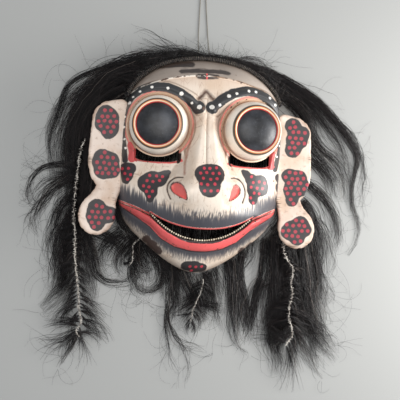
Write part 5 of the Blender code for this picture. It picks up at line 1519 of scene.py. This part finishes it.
# Switches and jaw curl: pale cords of two plies, knotted at short steps and laid over the hair.
# Small tufts of hair are bound in along each, and leave it to both sides like a fish's bones.
CORDS = {
    "switch_left": ((-119, 23), (-123, 9), (-125, -14), (-126, -35), (-126, -60), (-124, -73), (-123, -95),
                    (-121, -110), (-117, -137), (-116, -151), (-113, -163), (-117, -174), (-114, -180)),
    "switch_right": ((91, -72), (95, -87), (104, -100), (103, -113), (105, -128), (103, -139),
                     (103, -151), (108, -169), (101, -181)),
    "chin_switch": ((10, -115), (9, -127), (2, -147), (0, -161)),
    "jaw_curl": ((-58, -75), (-64, -83), (-64, -92), (-64, -98), (-67, -105)),
}
# Each side gives, along the cord from its top, how long the tuft hairs are at that share: (share, length).
BONES = {
    "switch_left": (((0.0, 5), (0.35, 9), (0.55, 18), (0.72, 24), (0.85, 26), (1.0, 24)),
                    ((0.0, 4), (0.35, 6), (0.55, 14), (0.72, 20), (0.85, 26), (1.0, 28))),
    "switch_right": (((0.0, 8), (0.5, 16), (0.75, 26), (1.0, 32)),
                     ((0.0, 8), (0.5, 16), (0.75, 26), (1.0, 36))),
    "chin_switch": (((0.0, 10), (0.6, 16), (1.0, 12)), ((0.0, 12), (0.6, 18), (1.0, 14))),
    "jaw_curl": (((0.0, 5), (1.0, 10)), ((0.0, 6), (1.0, 10))),
}
CORD_HEIGHTS = {"switch_left": (13.5, 9.0), "switch_right": (15.0, 9.0), "chin_switch": (11.0, 5.0),
                "jaw_curl": (12.5, 7.0)}
CORD_STEPS = 400
PLY_TURN = 3.4
PLY_RADIUS = 0.3
SHORT_CORD, SHORT_THICKNESS = 60.0, 0.65
# A knot crosses the cord: how far aside, and how high.
KNOT_ARCH = ((-1.0, -0.5), (-0.6, 0.7), (0.0, 1.1), (0.6, 0.7), (1.0, -0.5))
BONE_SPACING = 4.2
BONE_HAIRS = 20
BONE_POINTS = 12
for number, (name, cord) in enumerate(CORDS.items()):
    chance = np.random.default_rng(300 + number)
    high, low = CORD_HEIGHTS[name]
    sloped = [(x, y, high + (low - high) * i / (len(cord) - 1)) for i, (x, y) in enumerate(cord)]
    route, length = even_route(sloped, CORD_STEPS)
    spun_phase = np.linspace(0, length / PLY_TURN * 2 * math.pi, CORD_STEPS)
    sideways = frames_along(route[None])[0]
    spun = []
    for ply in (0, math.pi):
        core = route + sideways * (0.3 * np.cos(spun_phase + ply) + 0.5 * np.sin(spun_phase / 3.7))[:, None]
        core[:, 2] += 0.3 * np.sin(spun_phase + ply) + 1.1 * np.sin(spun_phase / 5.3)
        spun.append(core)
    spun = np.array(spun)
    thickness = 1.0 if length > SHORT_CORD else SHORT_THICKNESS
    ply_radius = PLY_RADIUS * thickness
    cord_made = strand_object("cord_" + name, spun, np.full(spun.shape[:2], ply_radius), cord_look, sides=6)
    knots = []
    for run in 1.5 + np.cumsum(chance.uniform(0.9, 3.2, int(length / 2))):
        if run > length - 1:
            break
        k = int(run / length * (CORD_STEPS - 1))
        ahead = np.array([sideways[k, 1], -sideways[k, 0], 0])
        reach = chance.uniform(1.0, 2.3) * thickness
        slant = chance.uniform(-0.9, 0.9)
        knots.append([route[k] + sideways[k] * off * reach + ahead * slant * off + np.array([0, 0, lift])
                      for off, lift in KNOT_ARCH])
    knots = np.array(knots)
    knots_made = strand_object("knots_" + name, knots, np.full(knots.shape[:2], ply_radius), cord_look,
                               sides=5)

    bones, radii = [], []
    for side in (-1, 1):
        shares, lengths = np.array(BONES[name][0 if side < 0 else 1], float).T
        for run in np.arange(1.0, length, BONE_SPACING):
            share = run / length
            k = int(share * (CORD_STEPS - 1))
            tuft_length = np.interp(share, shares, lengths) * chance.uniform(0.8, 1.4)
            hairs = BONE_HAIRS + int(tuft_length / 5)
            down = math.atan2(-sideways[k, 0], sideways[k, 1])
            tuft_turn = chance.normal(0, 0.28)
            begin = down + side * (1.15 + tuft_turn + chance.normal(0, 0.10, hairs))
            curl = -side * (0.75 + chance.normal(0, 0.5) + chance.normal(0, 0.25, hairs))
            at = np.linspace(0, 1, BONE_POINTS)[None, :]
            heading = begin[:, None] + curl[:, None] * at
            own_length = tuft_length * chance.uniform(0.4, 1.15, hairs)
            step = own_length[:, None] / (BONE_POINTS - 1)
            hair = np.empty((hairs, BONE_POINTS, 3))
            hair[..., 0] = route[k, 0] + np.cumsum(np.cos(heading), axis=1) * step
            hair[..., 1] = route[k, 1] + np.cumsum(np.sin(heading), axis=1) * step
            top = route[k, 2] + chance.uniform(-1.5, 1.0, hairs)[:, None]
            hair[..., 2] = np.maximum(top * (1 - 0.85 * at ** 1.5) + 0.8 * np.sin(at * 3) * 2, 0.4)
            bones.append(hair)
            radii.append(STRAND_RADIUS * (1 - 0.75 * at) * np.ones((hairs, 1)))
    bones, radii = np.concatenate(bones), np.concatenate(radii)
    bones[..., 1] = np.maximum(bones[..., 1], LOWEST)
    bones_made = strand_object("tufts_" + name, bones, radii, hair_look)
    for made, slot in ((cord_made, "band_binding"), (knots_made, "band_binding"),
                       (bones_made, "dark_hair")):
        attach(made, "root")
        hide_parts(name)

# Flyaway hairs: single long hairs that have worked loose and lie on their own round the locks.
# They are the thinnest hairs of the mane and curve every way.
LOOSE_HAIRS = 520
LOOSE_POINTS = 26
LOOSE_RADIUS = 0.1
LOOSE_MARGIN = 6
chance = np.random.default_rng(77)
sources, weights = [], []
for name, locks in LOCKS.items():
    for count, stray, wave, points in locks:
        for x, y, height, width in points[1:]:
            sources.append((x, y, height, width))
            weights.append(1.0 + stray)
sources, weights = np.array(sources), np.array(weights)
sources[:, 0] = np.clip(sources[:, 0], LEFT_MOST + LOOSE_MARGIN, RIGHT_MOST - LOOSE_MARGIN)
sources[:, 1] = np.maximum(sources[:, 1], LOWEST + LOOSE_MARGIN)
picked = sources[chance.choice(len(sources), LOOSE_HAIRS, p=weights / weights.sum())]
outwards = np.arctan2(picked[:, 1] + 20, picked[:, 0])
heading = outwards + chance.normal(0, 0.8, LOOSE_HAIRS)
bend = chance.normal(0, 1.6, LOOSE_HAIRS)
length = chance.uniform(12, 55, LOOSE_HAIRS)
at = np.linspace(0, 1, LOOSE_POINTS)[None, :]
twist = chance.uniform(0, 6.28, LOOSE_HAIRS)[:, None]
heading = heading[:, None] + bend[:, None] * at + 0.35 * np.sin(5 * at + twist)
step = length[:, None] / (LOOSE_POINTS - 1)
loose = np.empty((LOOSE_HAIRS, LOOSE_POINTS, 3))
loose[..., 0] = picked[:, :1] + np.cumsum(np.cos(heading), axis=1) * step
loose[..., 1] = picked[:, 1:2] + np.cumsum(np.sin(heading), axis=1) * step
loose[..., 2] = np.maximum(picked[:, 2:3] * (1 - at) * 0.8, 0.3) + 1.5 * np.sin(math.pi * at) ** 2
loose = drawn_in(loose)
loose_radii = LOOSE_RADIUS * (1 - 0.6 * at) * np.ones((LOOSE_HAIRS, 1))
flyaway = strand_object("flyaway_hairs", loose, loose_radii, hair_look)
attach(flyaway, "root")
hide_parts("mane_left")
